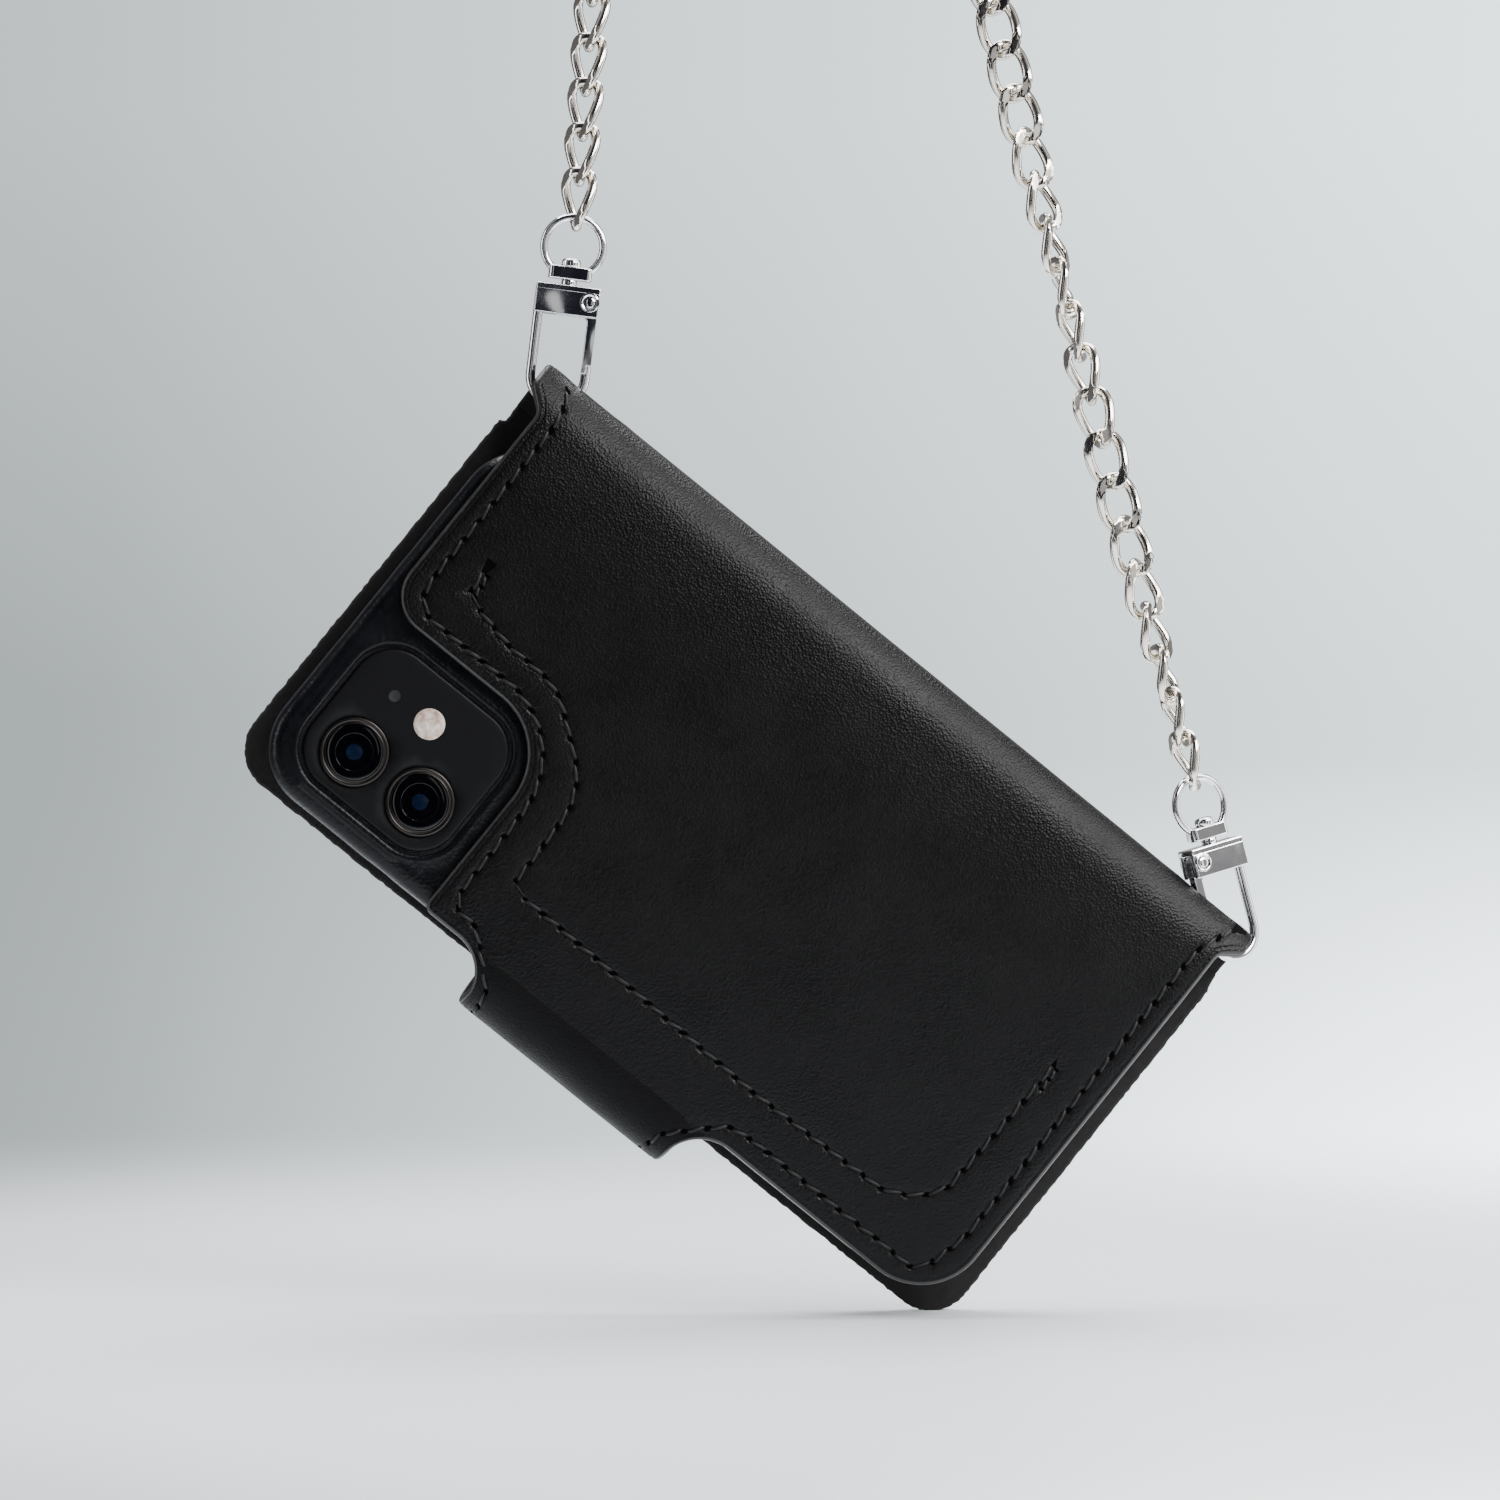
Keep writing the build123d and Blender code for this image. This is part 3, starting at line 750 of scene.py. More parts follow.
def build_front():
    runs = [stitch_holes(line) for line in (OUTER_LINE, OUTER_LINE_RIGHT, INNER_LINE)]
    locks = [stitch_holes(line, 2.2) for line in (LOCK_LEFT, LOCK_RIGHT)]
    outlines = [front_outline()] + [slot_outline(side) for side in (-1, 1)]
    made = sheet("front_leather", outlines, front_fold, [GRAIN, EDGE, LINING, HOLE_SHADE],
                 [SHEET_EDGE] * 3, runs + locks)
    shade_strap(made)
    dress(made, "grain_leather", strap_blend, "near_panel_leather", "near_panel_lining",
          "spine_leather", "spine_lining", "strap_leather", "strap_lining")
    sewn = threads("front_stitching", runs + locks, front_fold)
    dress(sewn, "grain_leather", strap_blend)


COVER_EDGE = (
    (0.75, 0.0, 0), (0.4, 0.05, 0), (0.1, 0.2, 0), (0.0, 0.5, 1), (0.02, 0.9, 1),
    (0.16, 1.2, 1), (0.0, 1.5, 1), (0.02, 1.9, 1), (0.3, 2.16, 2), (0.75, 2.2, 2),
)


def build_cover():
    outline = rounded([
        (-84.2, 8.25, 0), (84.2, 8.25, 0), (85.2, 12.5, 1.5), (85.2, 93.2, 8.5),
        (-85.2, 93.2, 8.5), (-85.2, 12.7, 0.9), (-84.1, 12.0, 0.5),
    ], 0.6, 0.9)
    edge = rounded([
        (-81.2, 14.0, 4.0), (81.2, 14.0, 4.0), (81.2, 89.3, 5.0), (-81.2, 89.3, 5.0)])
    line = [(p.x, p.y, 0) for p in edge] + [(edge[0].x, edge[0].y, 0)]
    runs = [stitch_holes(line)]
    fold = flat_fold(OUT, THROUGH)
    made = sheet("cover_leather_shell", [outline], fold, [GRAIN, RAW_EDGE, LINING, HOLE_SHADE],
                 [COVER_EDGE], runs, rim_noise=0.16)
    dress(made, "grain_leather", cover_blend, "cover_leather", "cover_lining")
    sewn = threads("cover_stitching", runs, fold)
    dress(sewn, "grain_leather", cover_blend)


POCKET_EDGE = (
    (0.35, 0.0, 0), (0.12, 0.06, 0), (0.0, 0.25, 1), (0.0, 0.55, 1), (0.1, 0.74, 1),
    (0.35, 0.8, 2),
)
POCKET_HALF = 62.0
POCKET_FOOT = 86.0
THUMB = 9.0


def pocket_outline(mouth):
    """Pocket with a thumb notch in its mouth."""
    return rounded([
        (-POCKET_HALF, mouth, 3.0), (-THUMB - 3, mouth, 3.0), (-THUMB + 2, mouth + 6.5, 5.0),
        (THUMB - 2, mouth + 6.5, 5.0), (THUMB + 3, mouth, 3.0), (POCKET_HALF, mouth, 3.0),
        (POCKET_HALF, POCKET_FOOT, 3.0), (-POCKET_HALF, POCKET_FOOT, 3.0),
    ])


def build_pockets():
    for name, mouth, top in (("back", 20.0, 5.5), ("front", 38.0, 4.7)):
        fold = flat_fold(top, -THROUGH)
        seam = POCKET_HALF - 2.5
        line = [(-seam, mouth + 2.5, 0), (-seam, POCKET_FOOT - 2.5, 2.0),
                (seam, POCKET_FOOT - 2.5, 2.0), (seam, mouth + 2.5, 0)]
        runs = [stitch_holes(line, 3.4)]
        made = sheet(f"card_pocket_{name}_leather", [pocket_outline(mouth)], fold,
                     [GRAIN, EDGE, LINING, HOLE_SHADE], [POCKET_EDGE], runs, grid=2.6, wave=0.03)
        dress(made, "lining_leather", "cover", f"card_pocket_{name}")
        if name == "front":
            dress(threads("pocket_stitching", runs, fold, radius=0.22), "grain_leather", "cover")


# ---- phone case ----

CASE = (-82.7, 12.6, 72.8, 91.5)
CASE_CORNER = 12.0
CASE_FACE = -6.3
CASE_PROFILE = (
    (3.4, 0.0, 0), (2.4, 0.1, 0), (1.5, 0.4, 0), (0.8, 0.95, 0), (0.3, 1.8, 0), (0.05, 2.9, 0),
    (0.0, 4.5, 0), (0.0, 7.8, 0), (0.12, 9.2, 0), (0.5, 9.75, 0), (1.1, 9.95, 0), (1.7, 9.8, 0),
    (2.05, 9.3, 2), (2.15, 8.0, 2), (2.15, 1.9, 2), (2.3, 1.3, 2), (2.9, 1.1, 2),
)
WINDOW = (-77.7, 55.9, -43.2, 86.7)
WINDOW_CORNER = 8.5
WINDOW_PROFILE = (
    (1.6, 0.0, 0), (1.1, -0.16, 0), (0.6, -0.2, 0), (0.2, -0.05, 0), (0.0, 0.3, 0),
    (0.0, 0.7, 1), (0.12, 1.1, 2),
)


def box_outline(corners, radius, inset=0.0, step=0.7, run=1.5):
    x0, y0, x1, y1 = corners
    x0, y0, x1, y1 = x0 + inset, y0 + inset, x1 - inset, y1 - inset
    return rounded([(x0, y0, radius), (x1, y0, radius), (x1, y1, radius), (x0, y1, radius)],
                   step, run)


def build_case():
    outer = box_outline(CASE, CASE_CORNER)
    window = box_outline(WINDOW, WINDOW_CORNER)[::-1]
    fold = flat_fold(CASE_FACE, -THROUGH)
    made = sheet("case_shell", [outer, window], fold, [CASE_SKIN, EDGE, LINING, HOLE_SHADE],
                 [CASE_PROFILE, WINDOW_PROFILE], grid=1.8, wave=0.0)
    wrinkle(made)
    dress(made, "case_leather", "wallet", "phone_case")


def wrinkle(made, height=0.11):
    """Shrunken leather: ridges that run along the case's sides."""
    for vertex in made.data.vertices:
        at = vertex.co - CREST
        u, v = at.dot(ALONG) / MM, at.dot(DOWN) / MM
        ridge = noise.noise(Vector((u / 5.0, v / 5.0, 0.4))) * noise.noise(Vector((u, v, 2)) / 11)
        vertex.co += vertex.normal * (ridge * height * 2 * MM)


# ---- camera ----

LENSES = ((-67.6, 77.5), (-52.5, 77.1))
LENS_HOLE = 5.6
FLASH_AT = (-60.1, 64.9)
MICROPHONE_AT = (-68.3, 64.9)
PLATE_TOP = -6.0
# profiles as (radius, height)
LENS_RING = (
    (6.35, -0.3), (6.4, 0.3), (6.3, 0.62), (6.1, 0.72), (5.85, 0.72), (5.65, 0.6),
    (5.6, 0.5), (5.45, 0.62), (5.3, 0.62), (5.2, 0.5), (5.18, -0.2), (5.6, -0.3),
)
LENS_FACE = (
    (5.15, -0.4), (5.15, 0.38), (4.9, 0.45), (4.0, 0.46), (3.5, 0.46), (3.45, 0.42),
    (3.2, 0.42), (2.5, 0.38), (2.2, 0.38), (1.5, 0.41), (1.0, 0.44), (0.5, 0.46),
    (0.05, 0.465),
)
FLASH_FACE = (
    (2.9, -0.4), (2.9, 0.02), (2.75, 0.1), (2.2, 0.15), (1.6, 0.12), (1.5, 0.16),
    (0.9, 0.2), (0.05, 0.21),
)
MICROPHONE_FACE = ((1.1, -0.3), (1.1, 0.04), (1.0, 0.06), (0.9, 0.02), (0.05, 0.02))


def turned(name, profile, materials, place, axis, slots=None, sides=48, sharp=28):
    """Turned piece from (radius, height) in millimetres along an axis from a place."""
    axis = axis.normalized()
    side = axis.orthogonal().normalized()
    other = axis.cross(side)
    points = []
    for radius, height in profile:
        for cosine, sine in circle(sides):
            off = side * (radius * cosine) + other * (radius * sine)
            points.append(place + (axis * height + off) * MM)
    slots = slots or [0] * len(profile)
    indices = [slot for slot in slots[:len(profile) - 1] for _ in range(sides)]
    indices += [slots[0], slots[-1]]
    made = make_piece(name, points, tube_faces(0, len(profile), sides), materials, indices, sharp)
    fix_normals(made)
    return made


def joined(name, pieces):
    """One object from several meshes that share their materials."""
    work = bmesh.new()
    materials = list(pieces[0].data.materials)
    for piece in pieces:
        work.from_mesh(piece.data)
    mesh = bpy.data.meshes.new(name)
    work.to_mesh(mesh)
    work.free()
    for material in materials:
        mesh.materials.append(material)
    for piece in pieces:
        bpy.data.objects.remove(piece)
    return placed(name, mesh)


def build_camera():
    plate = box_outline(WINDOW, WINDOW_CORNER - 0.6, 0.7)
    fold = flat_fold(PLATE_TOP, -THROUGH)
    edge = ((0.6, 0.0, 0), (0.3, 0.05, 0), (0.08, 0.2, 0), (0.0, 0.5, 0), (0.0, 0.85, 0))
    holes = []
    for u, v in LENSES:
        holes.append([Vector((u + LENS_HOLE * math.cos(a), v - LENS_HOLE * math.sin(a)))
                      for a in np.linspace(0, 2 * math.pi, 48, endpoint=False)])
    rim = ((0.2, 0.0, 0), (0.0, 0.3, 0), (0.0, 0.85, 0))
    made = sheet("camera_plate_glass", [plate] + holes, fold, [PLATE] * 4,
                 [edge, rim, rim], grid=2.5, wave=0.0)
    dress(made, "camera_glass", "wallet", "camera_plate")
    rings, glasses = [], []
    for u, v in LENSES:
        at = wallet(u, v, PLATE_TOP)
        rings.append(turned("ring", LENS_RING, [LENS_METAL], at, -THROUGH, sharp=40, sides=64))
        # the innermost rings of each glass carry the painted blue glint
        glasses.append(turned("glass", LENS_FACE, [LENS_GLASS, LENS_GLINT], at, -THROUGH,
                              [0] * 9 + [1] * 4, sides=64))
    dress(joined("lens_ring_pair", rings), "lens_ring_metal", "wallet", "lens_rings")
    dress(joined("lens_glass_pair", glasses), "lens_glass", "wallet", "lens_glasses")
    flash = turned("flash_disc", FLASH_FACE, [FLASH], wallet(*FLASH_AT, PLATE_TOP), -THROUGH)
    dress(flash, "flash_diffuser", "wallet", "flash_lens")
    mic = turned("microphone_disc", MICROPHONE_FACE, [MESH_DARK],
                 wallet(*MICROPHONE_AT, PLATE_TOP), -THROUGH, sides=32)
    dress(mic, "camera_glass", "wallet", "microphone_mesh")


# ---- clasps ----

HOUSING = (11.9, 4.9, 5.5)
HOOK_X = 5.05
HOOK_RADIUS = 0.9
BOW_Z = -14.05
PIVOT_X = 4.1
RING_Z = 10.05
RING_MAJOR = 5.475
RING_WIRE = 0.7
# (radius, height above the housing) of the swivel post, and (radius, height) of a rivet head
POST = (
    (1.2, -0.8), (1.2, -0.1), (1.4, 0.02), (1.45, 0.2), (1.45, 0.95), (1.35, 1.12),
    (1.2, 1.15), (1.2, 3.4), (1.7, 3.5), (1.8, 3.62), (1.8, 4.4), (1.68, 4.75),
    (1.35, 5.0), (0.8, 5.1), (0.05, 5.12),
)
RIVET = (
    (1.8, -0.2), (1.8, 0.12), (1.72, 0.24), (1.5, 0.3), (1.3, 0.22), (1.15, 0.1),
    (1.0, 0.1), (0.95, 0.24), (0.8, 0.32), (0.4, 0.36), (0.05, 0.36),
)


def clasp_frame(side):
    """Matrix of a clasp: x to the gate, y through the depth, z up the swivel axis."""
    origin, up = joint_line(f"{side}_swivel")
    pivot, _ = joint_line(f"{side}_gate_push")
    to_gate = pivot - origin
    to_gate = (to_gate - up * to_gate.dot(up)).normalized()
    return axes_matrix(origin, to_gate, up.cross(to_gate), up)


def tube_mesh(name, line, radius, frame_matrix, materials, sides=16, flat=None, closed=False):
    """Round bar along points in the clasp's own frame. flat(point, k) may move a vertex."""
    points = []
    count = len(line)
    beside = Vector((0, 1, 0))
    for n, here in enumerate(line):
        before = line[n - 1] if closed or n else here
        after = line[(n + 1) % count] if closed or n + 1 < count else here
        along = (after - before).normalized()
        beside = (beside - along * beside.dot(along)).normalized()
        other = along.cross(beside)
        for cosine, sine in circle(sides):
            spot = here + (beside * cosine + other * sine) * radius
            spot = flat(spot, n) if flat else spot
            points.append(frame_matrix @ spot)
    faces = loop_faces(count, sides) if closed else tube_faces(0, count, sides)
    made = make_piece(name, points, faces, materials, sharp=50)
    fix_normals(made)
    return made


def arc_line(middle, radius, first, last, count):
    cx, cz = middle
    angles = np.radians(np.linspace(first, last, count))
    return [Vector((cx + radius * math.cos(a), 0, cz + radius * math.sin(a))) for a in angles]


def beveled(name, outline, low, high, matrix, bevel, axis="y"):
    """Chrome block with rounded edges: an outline in x and z (or x and y), run between planes."""
    work = bmesh.new()
    def spot(p, t):
        return Vector((p[0], t, p[1])) if axis == "y" else Vector((p[0], p[1], t))
    base = [work.verts.new(spot(p, low)) for p in outline]
    face = work.faces.new(base)
    top = bmesh.ops.extrude_face_region(work, geom=[face])
    moved = [g for g in top["geom"] if isinstance(g, bmesh.types.BMVert)]
    shift = spot((0, 0), high - low)
    bmesh.ops.translate(work, verts=moved, vec=shift)
    bmesh.ops.recalc_face_normals(work, faces=work.faces)
    bmesh.ops.bevel(work, geom=[e for e in work.edges if e.calc_face_angle(0) > 0.6],
                    offset=bevel, segments=3, profile=0.6, affect="EDGES")
    bmesh.ops.transform(work, matrix=matrix, verts=work.verts)
    mesh = bpy.data.meshes.new(name)
    work.to_mesh(mesh)
    work.free()
    mesh.materials.append(CHROME)
    mesh.polygons.foreach_set("use_smooth", [True] * len(mesh.polygons))
    made = placed(name, mesh)
    even = made.modifiers.new("weights", "WEIGHTED_NORMAL")
    even.keep_sharp = True
    return made


def housing_pieces(side, matrix):
    """Closed end, roof and two cheeks with the gate's channel between them."""
    half_x, half_y, half_z = (size / 2 for size in HOUSING)
    wall, roof, end = 1.3, half_z - 0.9, -1.6
    around = [
        (-half_x, -half_y), (half_x, -half_y), (half_x, -wall), (end, -wall),
        (end, wall), (half_x, wall), (half_x, half_y), (-half_x, half_y),
    ]
    lower = beveled(f"{side}_housing_walls", around, -half_z, roof, matrix, 0.32, "z")
    cap = [(-half_x, -half_y), (half_x, -half_y), (half_x, half_y), (-half_x, half_y)]
    upper = beveled(f"{side}_housing_roof", cap, roof - 0.35, half_z, matrix, 0.32, "z")
    return lower, upper


def build_clasp(side):
    matrix = clasp_frame(side)
    up = (matrix.to_3x3() @ Vector((0, 0, 1))).normalized()
    body, lever = f"{side}_clasp", f"{side}_gate_lever"
    circle = arc_line((0, RING_Z), RING_MAJOR, 0, 360, 73)[:-1]
    ring = tube_mesh(f"{side}_ring_wire", circle, RING_WIRE, matrix, [CHROME], closed=True)
    dress(ring, "clasp_chrome", "rings", f"{side}_swivel_ring")
    bar_low = HOUSING[2] / 2 + 1.2
    bar = box_outline((-4.0, -1.6, 4.0, 1.6), 0.9, step=0.5, run=9)
    made = beveled(f"{side}_ring_bar", bar, bar_low - 0.1, bar_low + 2.3, matrix, 0.3, "z")
    dress(made, "clasp_chrome", "rings")
    low = HOUSING[2] / 2
    post = turned(f"{side}_post", [(radius, low + high) for radius, high in POST], [CHROME],
                  matrix.translation.copy(), up, sides=32, sharp=45)
    dress(post, "clasp_chrome", body, f"{side}_swivel_post")
    walls, roof = housing_pieces(side, matrix)
    dress(walls, "clasp_chrome", body, f"{side}_clasp_housing")
    dress(roof, "clasp_chrome", body)
    top = -HOUSING[2] / 2
    line = [Vector((-HOOK_X, 0, top + z)) for z in (1.6, -3.0, -7.0)]
    line += arc_line((0, BOW_Z), HOOK_X, 180, 360, 33)
    line += [Vector((HOOK_X, 0, BOW_Z + z)) for z in (0.5, 0.95, 1.0, 1.6, 2.15, 2.4)]

    def nose(spot, n):
        if n > 36 and spot.z > BOW_Z + 0.97:
            return Vector((max(spot.x, HOOK_X + 0.02), spot.y, spot.z))
        return spot
    hook = tube_mesh(f"{side}_hook_wire", line, HOOK_RADIUS, matrix, [CHROME], 20, nose)
    dress(hook, "clasp_chrome", body, f"{side}_hook")
    build_gate(side, matrix, lever)
    build_rivet(side, matrix, body)


def build_gate(side, matrix, lever):
    half = HOOK_RADIUS
    x0, x1 = HOOK_X - half, HOOK_X + half
    eye = arc_line((PIVOT_X, 0), 1.8, 20, 200, 13)
    outline = [(p.x, p.z) for p in eye]
    outline += [(PIVOT_X - 1.7, -0.9), (x0, -3.4), (x0, BOW_Z + 1.15), (HOOK_X - 0.12, BOW_Z + 1.15),
                (HOOK_X - 0.12, BOW_Z + 2.55), (x1, BOW_Z + 2.55), (x1, 0.2)]
    made = beveled(f"{side}_gate_arm", outline[::-1], -half, half, matrix, 0.2)
    dress(made, "clasp_chrome", lever, f"{side}_gate")


def build_rivet(side, matrix, body):
    """Peened heads with concentric rings on both cheeks."""
    depth = HOUSING[1] / 2
    heads = []
    axis = (matrix.to_3x3() @ Vector((0, 1, 0))).normalized()
    for sign in (-1, 1):
        heads.append(turned("head", RIVET, [CHROME],
                            matrix @ Vector((PIVOT_X, sign * depth, 0)), axis * sign, sides=32))
    rivet = joined(f"{side}_rivet_heads", heads)
    dress(rivet, "clasp_chrome", body, f"{side}_gate_rivet")


# ---- chain ----

LINK_WIRE = 0.93
LINK_HIGH = 5.125
LINK_WIDE = 3.175
LINK_TWIST = math.radians(38)
LINK_FLAT = 1.55


def link_mesh():
    """Twisted oval with ground flats, in millimetres about its middle, long axis along z."""
    line = []
    count = 44
    for k in range(count):
        t = 2 * math.pi * k / count
        x, z = (math.copysign(abs(f) ** 0.74, f) for f in (math.cos(t), math.sin(t)))
        twist = LINK_TWIST * z
        line.append(Vector((LINK_WIDE * x * math.cos(twist), LINK_WIDE * x * math.sin(twist),
                            LINK_HIGH * z)))
    points = []
    sides = 14
    for n, here in enumerate(line):
        along = (line[(n + 1) % count] - line[n - 1]).normalized()
        outward = Vector((here.x, here.y, here.z * 0.55))
        outward = (outward - along * outward.dot(along)).normalized()
        other = along.cross(outward)
        for cosine, sine in circle(sides):
            spot = here + (outward * cosine + other * sine) * LINK_WIRE
            spot.y = max(-LINK_FLAT, min(LINK_FLAT, spot.y))
            points.append(spot)
    return points, loop_faces(count, sides)


def link_frames(node):
    """Place and axes of every link in a chain node, from its separate solids."""
    mesh = frame["nodes"][node].data
    where = np.empty(len(mesh.vertices) * 3)
    mesh.vertices.foreach_get("co", where)
    where = where.reshape(-1, 3)
    _, same = np.unique(np.round(where, 6), axis=0, return_inverse=True)
    same = same.reshape(-1)
    mesh.calc_loop_triangles()
    triangles = np.empty(len(mesh.loop_triangles) * 3, dtype=np.int64)
    mesh.loop_triangles.foreach_get("vertices", triangles)
    triangles = triangles.reshape(-1, 3)
    label = np.arange(same.max() + 1)
    linked = same[triangles]
    while True:
        low = label[linked].min(axis=1)
        before = label.copy()
        for corner in range(3):
            np.minimum.at(label, linked[:, corner], low)
        label = label[label]
        if (label == before).all():
            break
    groups = label[linked[:, 0]]
    corners = where[triangles]
    size = np.linalg.norm(np.cross(corners[:, 1] - corners[:, 0], corners[:, 2] - corners[:, 0]), axis=1)
    middles = corners.mean(axis=1)
    frames = []
    for group in np.unique(groups):
        mine = groups == group
        weight = size[mine] / size[mine].sum()
        centre = (middles[mine] * weight[:, None]).sum(axis=0)
        off = middles[mine] - centre
        _, axes = np.linalg.eigh((off * weight[:, None]).T @ off)
        z, x = Vector(axes[:, 2]), Vector(axes[:, 1])
        frames.append(axes_matrix(centre, x, z.cross(x), z))
    return frames


def build_chain():
    points, faces = link_mesh()
    for node in ("left_chain", "peg_links", "right_chain"):
        places = link_frames(node)
        all_points, all_faces = [], []
        for place in places:
            first = len(all_points)
            all_points.extend(place @ p for p in points)
            all_faces.extend([first + i for i in face] for face in faces)
        made = make_piece(f"{node}_links", all_points, all_faces, [SILVER], sharp=32)
        fix_normals(made)
        dress(made, "chain_silver", "chain", node)


# ---- what stays as it is ----

def paint_frame():
    kept = {
        "phone_body": SHELL, "phone_screen": SCREEN, "keeper_plate": STEEL,
        "strap_magnet": STEEL, "left_gate_spring": STEEL, "right_gate_spring": STEEL,
    }
    for node, material in kept.items():
        mesh = frame["nodes"][node].data
        mesh.materials.clear()
        mesh.materials.append(material)


# ---- studio ----

FLOOR_Z = -0.4226
FLOOR_X = 0.04
FLOOR_HALF = 1.0
FLOOR_FADE = (0.10, 0.50)    # metres from the floor's middle, from solid to clear


def build_floor():
    paint = Paint("studio floor", (0.80, 0.81, 0.82), 0.32, Specular_IOR_Level=0.35)
    paint.color(paint.noise(6.0), 0.3, 0.7, (0.82, 0.865, 0.895), (0.85, 0.895, 0.925))
    reach = paint.node("VectorMath", operation="LENGTH")
    paint.link(paint.place, reach.inputs[0])
    fade = map_range(paint.tree, reach.outputs["Value"], FLOOR_FADE, kind="SMOOTHERSTEP")
    clear = new_node(paint.tree, "BsdfTransparent")
    mix = new_node(paint.tree, "MixShader", fade, paint.shader.outputs[0], clear.outputs[0])
    paint.link(mix.outputs[0], paint.tree.nodes["Material Output"].inputs["Surface"])
    size = FLOOR_HALF
    corners = [(-size, -size, 0), (size, -size, 0), (size, size, 0), (-size, size, 0)]
    floor = make_piece("floor", corners, [[0, 1, 2, 3]], [paint.mat])
    floor.location = (FLOOR_X, 0.0, FLOOR_Z)


MIDDLE = (0.02, 0.0, -0.32)  # where most lights aim


def area_light(name, place, size, power, target=MIDDLE, color=(1, 1, 1)):
    lamp = bpy.data.lights.new(name, "AREA")
    lamp.shape = "RECTANGLE"
    lamp.size, lamp.size_y = size
    lamp.energy = power
    lamp.color = color
    made = placed(name, lamp)
    made.visible_camera = False
    made.location = place
    made.rotation_euler = (Vector(target) - Vector(place)).to_track_quat("-Z", "Y").to_euler()


def world_light(tree, first, second, blend, factor=None):
    """Background from two colours, multiplied or mixed."""
    mix = new_node(tree, "Mix")
    mix.data_type = "RGBA"
    mix.blend_type = blend
    mix.inputs["Factor"].default_value = 1.0
    if factor is not None:
        tree.links.new(factor, mix.inputs["Factor"])
    tree.links.new(first, mix.inputs["A"])
    tree.links.new(second, mix.inputs["B"])
    return mix.outputs["Result"]


def pale(level):
    """Slightly cool grey."""
    return (level * 0.88, level * 0.985, level * 1.02)


# painted light and shade of the seamless wall: its brightness from left to right, high up, at mid height
# and low down
WALL_STOPS = (0.0, 0.07, 0.53, 1.0)
WALL_ROWS = ((0.9, 0.95, 1.55, 2.5), (0.56, 0.60, 1.1, 1.9), (0.62, 0.68, 1.6, 5.5))
# parts of the view direction that the rows spread over and blend between
WALL_ACROSS = (-0.046, 0.201)
WALL_UPPER = (0.088, -0.010)
WALL_LOWER = (-0.020, -0.100)

# the room's light by direction, from the camera's side to the far side and from left to right
ROOM_DEPTH = (
    (0.0, (0.020, 0.022, 0.032)), (0.1, (0.035, 0.037, 0.048)), (0.3, (0.27, 0.27, 0.28)),
    (0.5, (0.9, 0.9, 0.9)), (0.56, (0.14, 0.14, 0.14)), (0.8, (0.2, 0.2, 0.21)),
    (1.0, (0.65, 0.66, 0.67)),
)
ROOM_ACROSS = (
    (0.0, (0.9, 0.9, 0.92)), (0.42, (0.35, 0.35, 0.38)), (0.6, (1.1, 1.08, 1.05)),
    (1.0, (1.5, 1.48, 1.44)),
)
ALL_ROUND = (-1.0, 1.0)


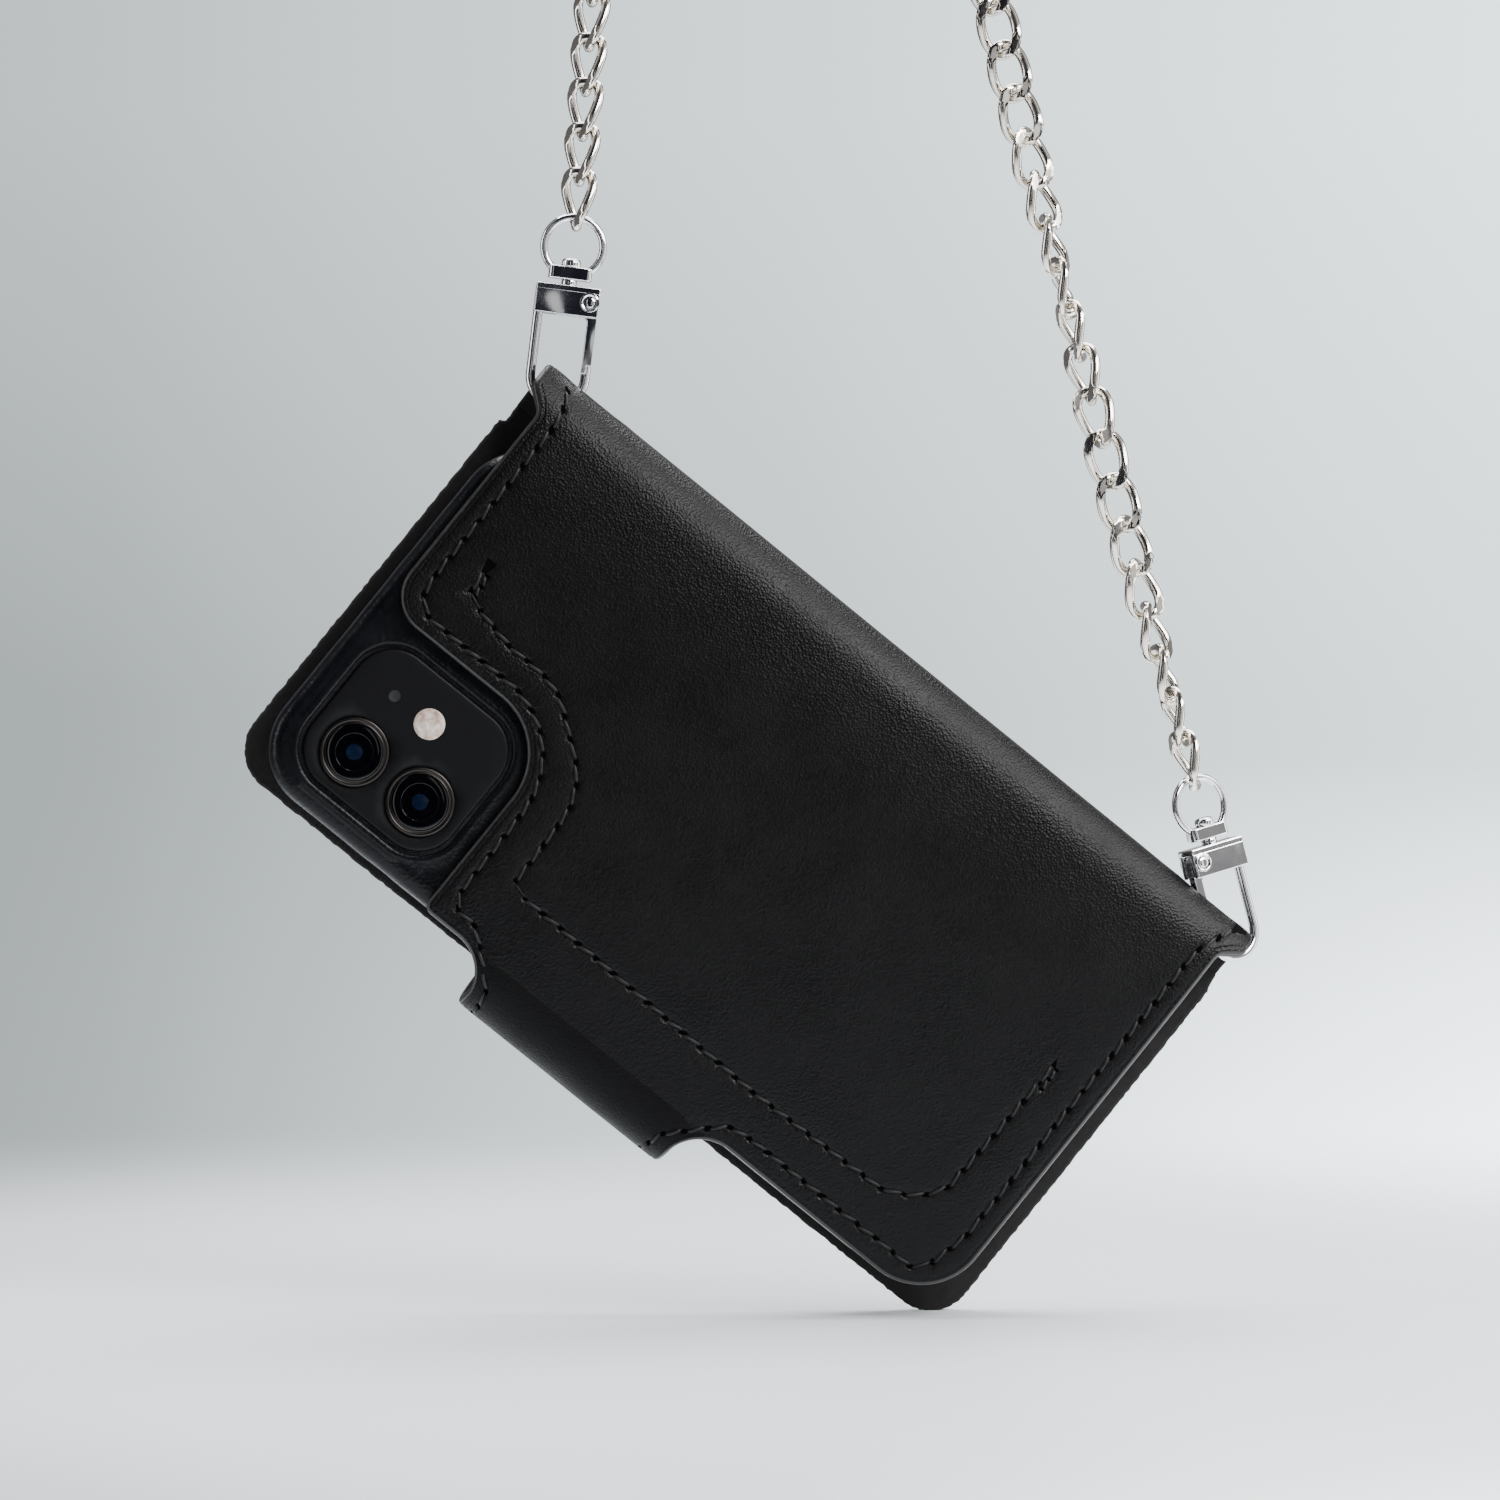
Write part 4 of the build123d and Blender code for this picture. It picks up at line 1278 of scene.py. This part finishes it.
def build_world():
    """The camera sees a pale seamless wall, brighter to the right. Metal and leather reflect
    a room that is dark behind the camera and light beyond the object."""
    world = bpy.data.worlds.new("studio")
    bpy.context.scene.world = world
    world.use_nodes = True
    tree = world.node_tree
    tree.nodes.clear()
    split = new_node(tree, "SeparateXYZ", new_node(tree, "TexCoord").outputs["Generated"])
    x, y, z = (split.outputs[name] for name in "XYZ")
    # the wall's light and shade are painted into the background: darker to the left, a darker band at
    # mid height, brighter to the right and low down
    across = map_range(tree, x, WALL_ACROSS)
    high, middle, low = (
        ramp(tree, across, list(zip(WALL_STOPS, map(pale, row)))) for row in WALL_ROWS)
    upper = world_light(tree, high, middle, "MIX", map_range(tree, z, WALL_UPPER))
    wall = world_light(tree, upper, low, "MIX", map_range(tree, z, WALL_LOWER))
    depth, width = (
        ramp(tree, map_range(tree, value, ALL_ROUND), stops)
        for value, stops in ((y, ROOM_DEPTH), (x, ROOM_ACROSS)))
    room = world_light(tree, depth, width, "MULTIPLY")
    seen = new_node(tree, "LightPath").outputs["Is Camera Ray"]
    lit, shown = (new_node(tree, "Background", color).outputs[0] for color in (room, wall))
    mix = new_node(tree, "MixShader", seen, lit, shown)
    new_node(tree, "OutputWorld", mix.outputs[0])


# name, place, width and height, power in watts, then the aim and colour where they differ
LIGHTS = (
    ("key", (0.66, -0.70, 0.30), (0.7, 0.5), 18.0),
    ("overhead", (0.1, 0.35, 0.9), (1.3, 1.3), 46.0, MIDDLE, (0.98, 0.98, 1.0)),
    ("front strip", (0.40, -0.93, -0.25), (0.14, 0.9), 0.5),
    ("side strip", (0.80, -0.62, -0.40), (0.22, 0.7), 1.0),
    ("low strip", (-0.30, -0.95, -0.25), (0.06, 0.9), 0.3),
    ("near strip", (0.10, -1.0, -0.20), (0.07, 0.3), 0.05),
    ("floor glow", (0.55, -0.10, 0.0), (0.3, 0.3), 1.6, (0.3, 0.0, -0.42)),
    ("left strip", (-0.95, -0.1, -0.2), (0.2, 1.0), 3.0),
    ("right strip", (0.95, 0.1, -0.15), (0.25, 1.0), 4.0),
)


def build_lights():
    for light in LIGHTS:
        area_light(*light)


CAMERA_AZIMUTH = -4.5
CAMERA_ELEVATION = 1.05
CAMERA_AIM = (0.00452, -0.0085, -0.31748)
CAMERA_DISTANCE = 1.1
CAMERA_LENS = 143.7


def build_camera_view():
    lens = bpy.data.cameras.new("camera")
    lens.lens = CAMERA_LENS
    lens.sensor_width = 36.0
    lens.clip_start = 0.05
    view = placed("camera", lens)
    a, e = math.radians(CAMERA_AZIMUTH), math.radians(CAMERA_ELEVATION)
    back = Vector((math.sin(a) * math.cos(e), -math.cos(a) * math.cos(e), math.sin(e)))
    view.location = Vector(CAMERA_AIM) + back * CAMERA_DISTANCE
    view.rotation_euler = (-back).to_track_quat("-Z", "Y").to_euler()
    bpy.context.scene.camera = view


build_camera_view()
build_front()
build_cover()
build_pockets()
build_case()
build_camera()
for clasp_side in ("left", "right"):
    build_clasp(clasp_side)
build_chain()
paint_frame()
build_floor()
build_world()
build_lights()
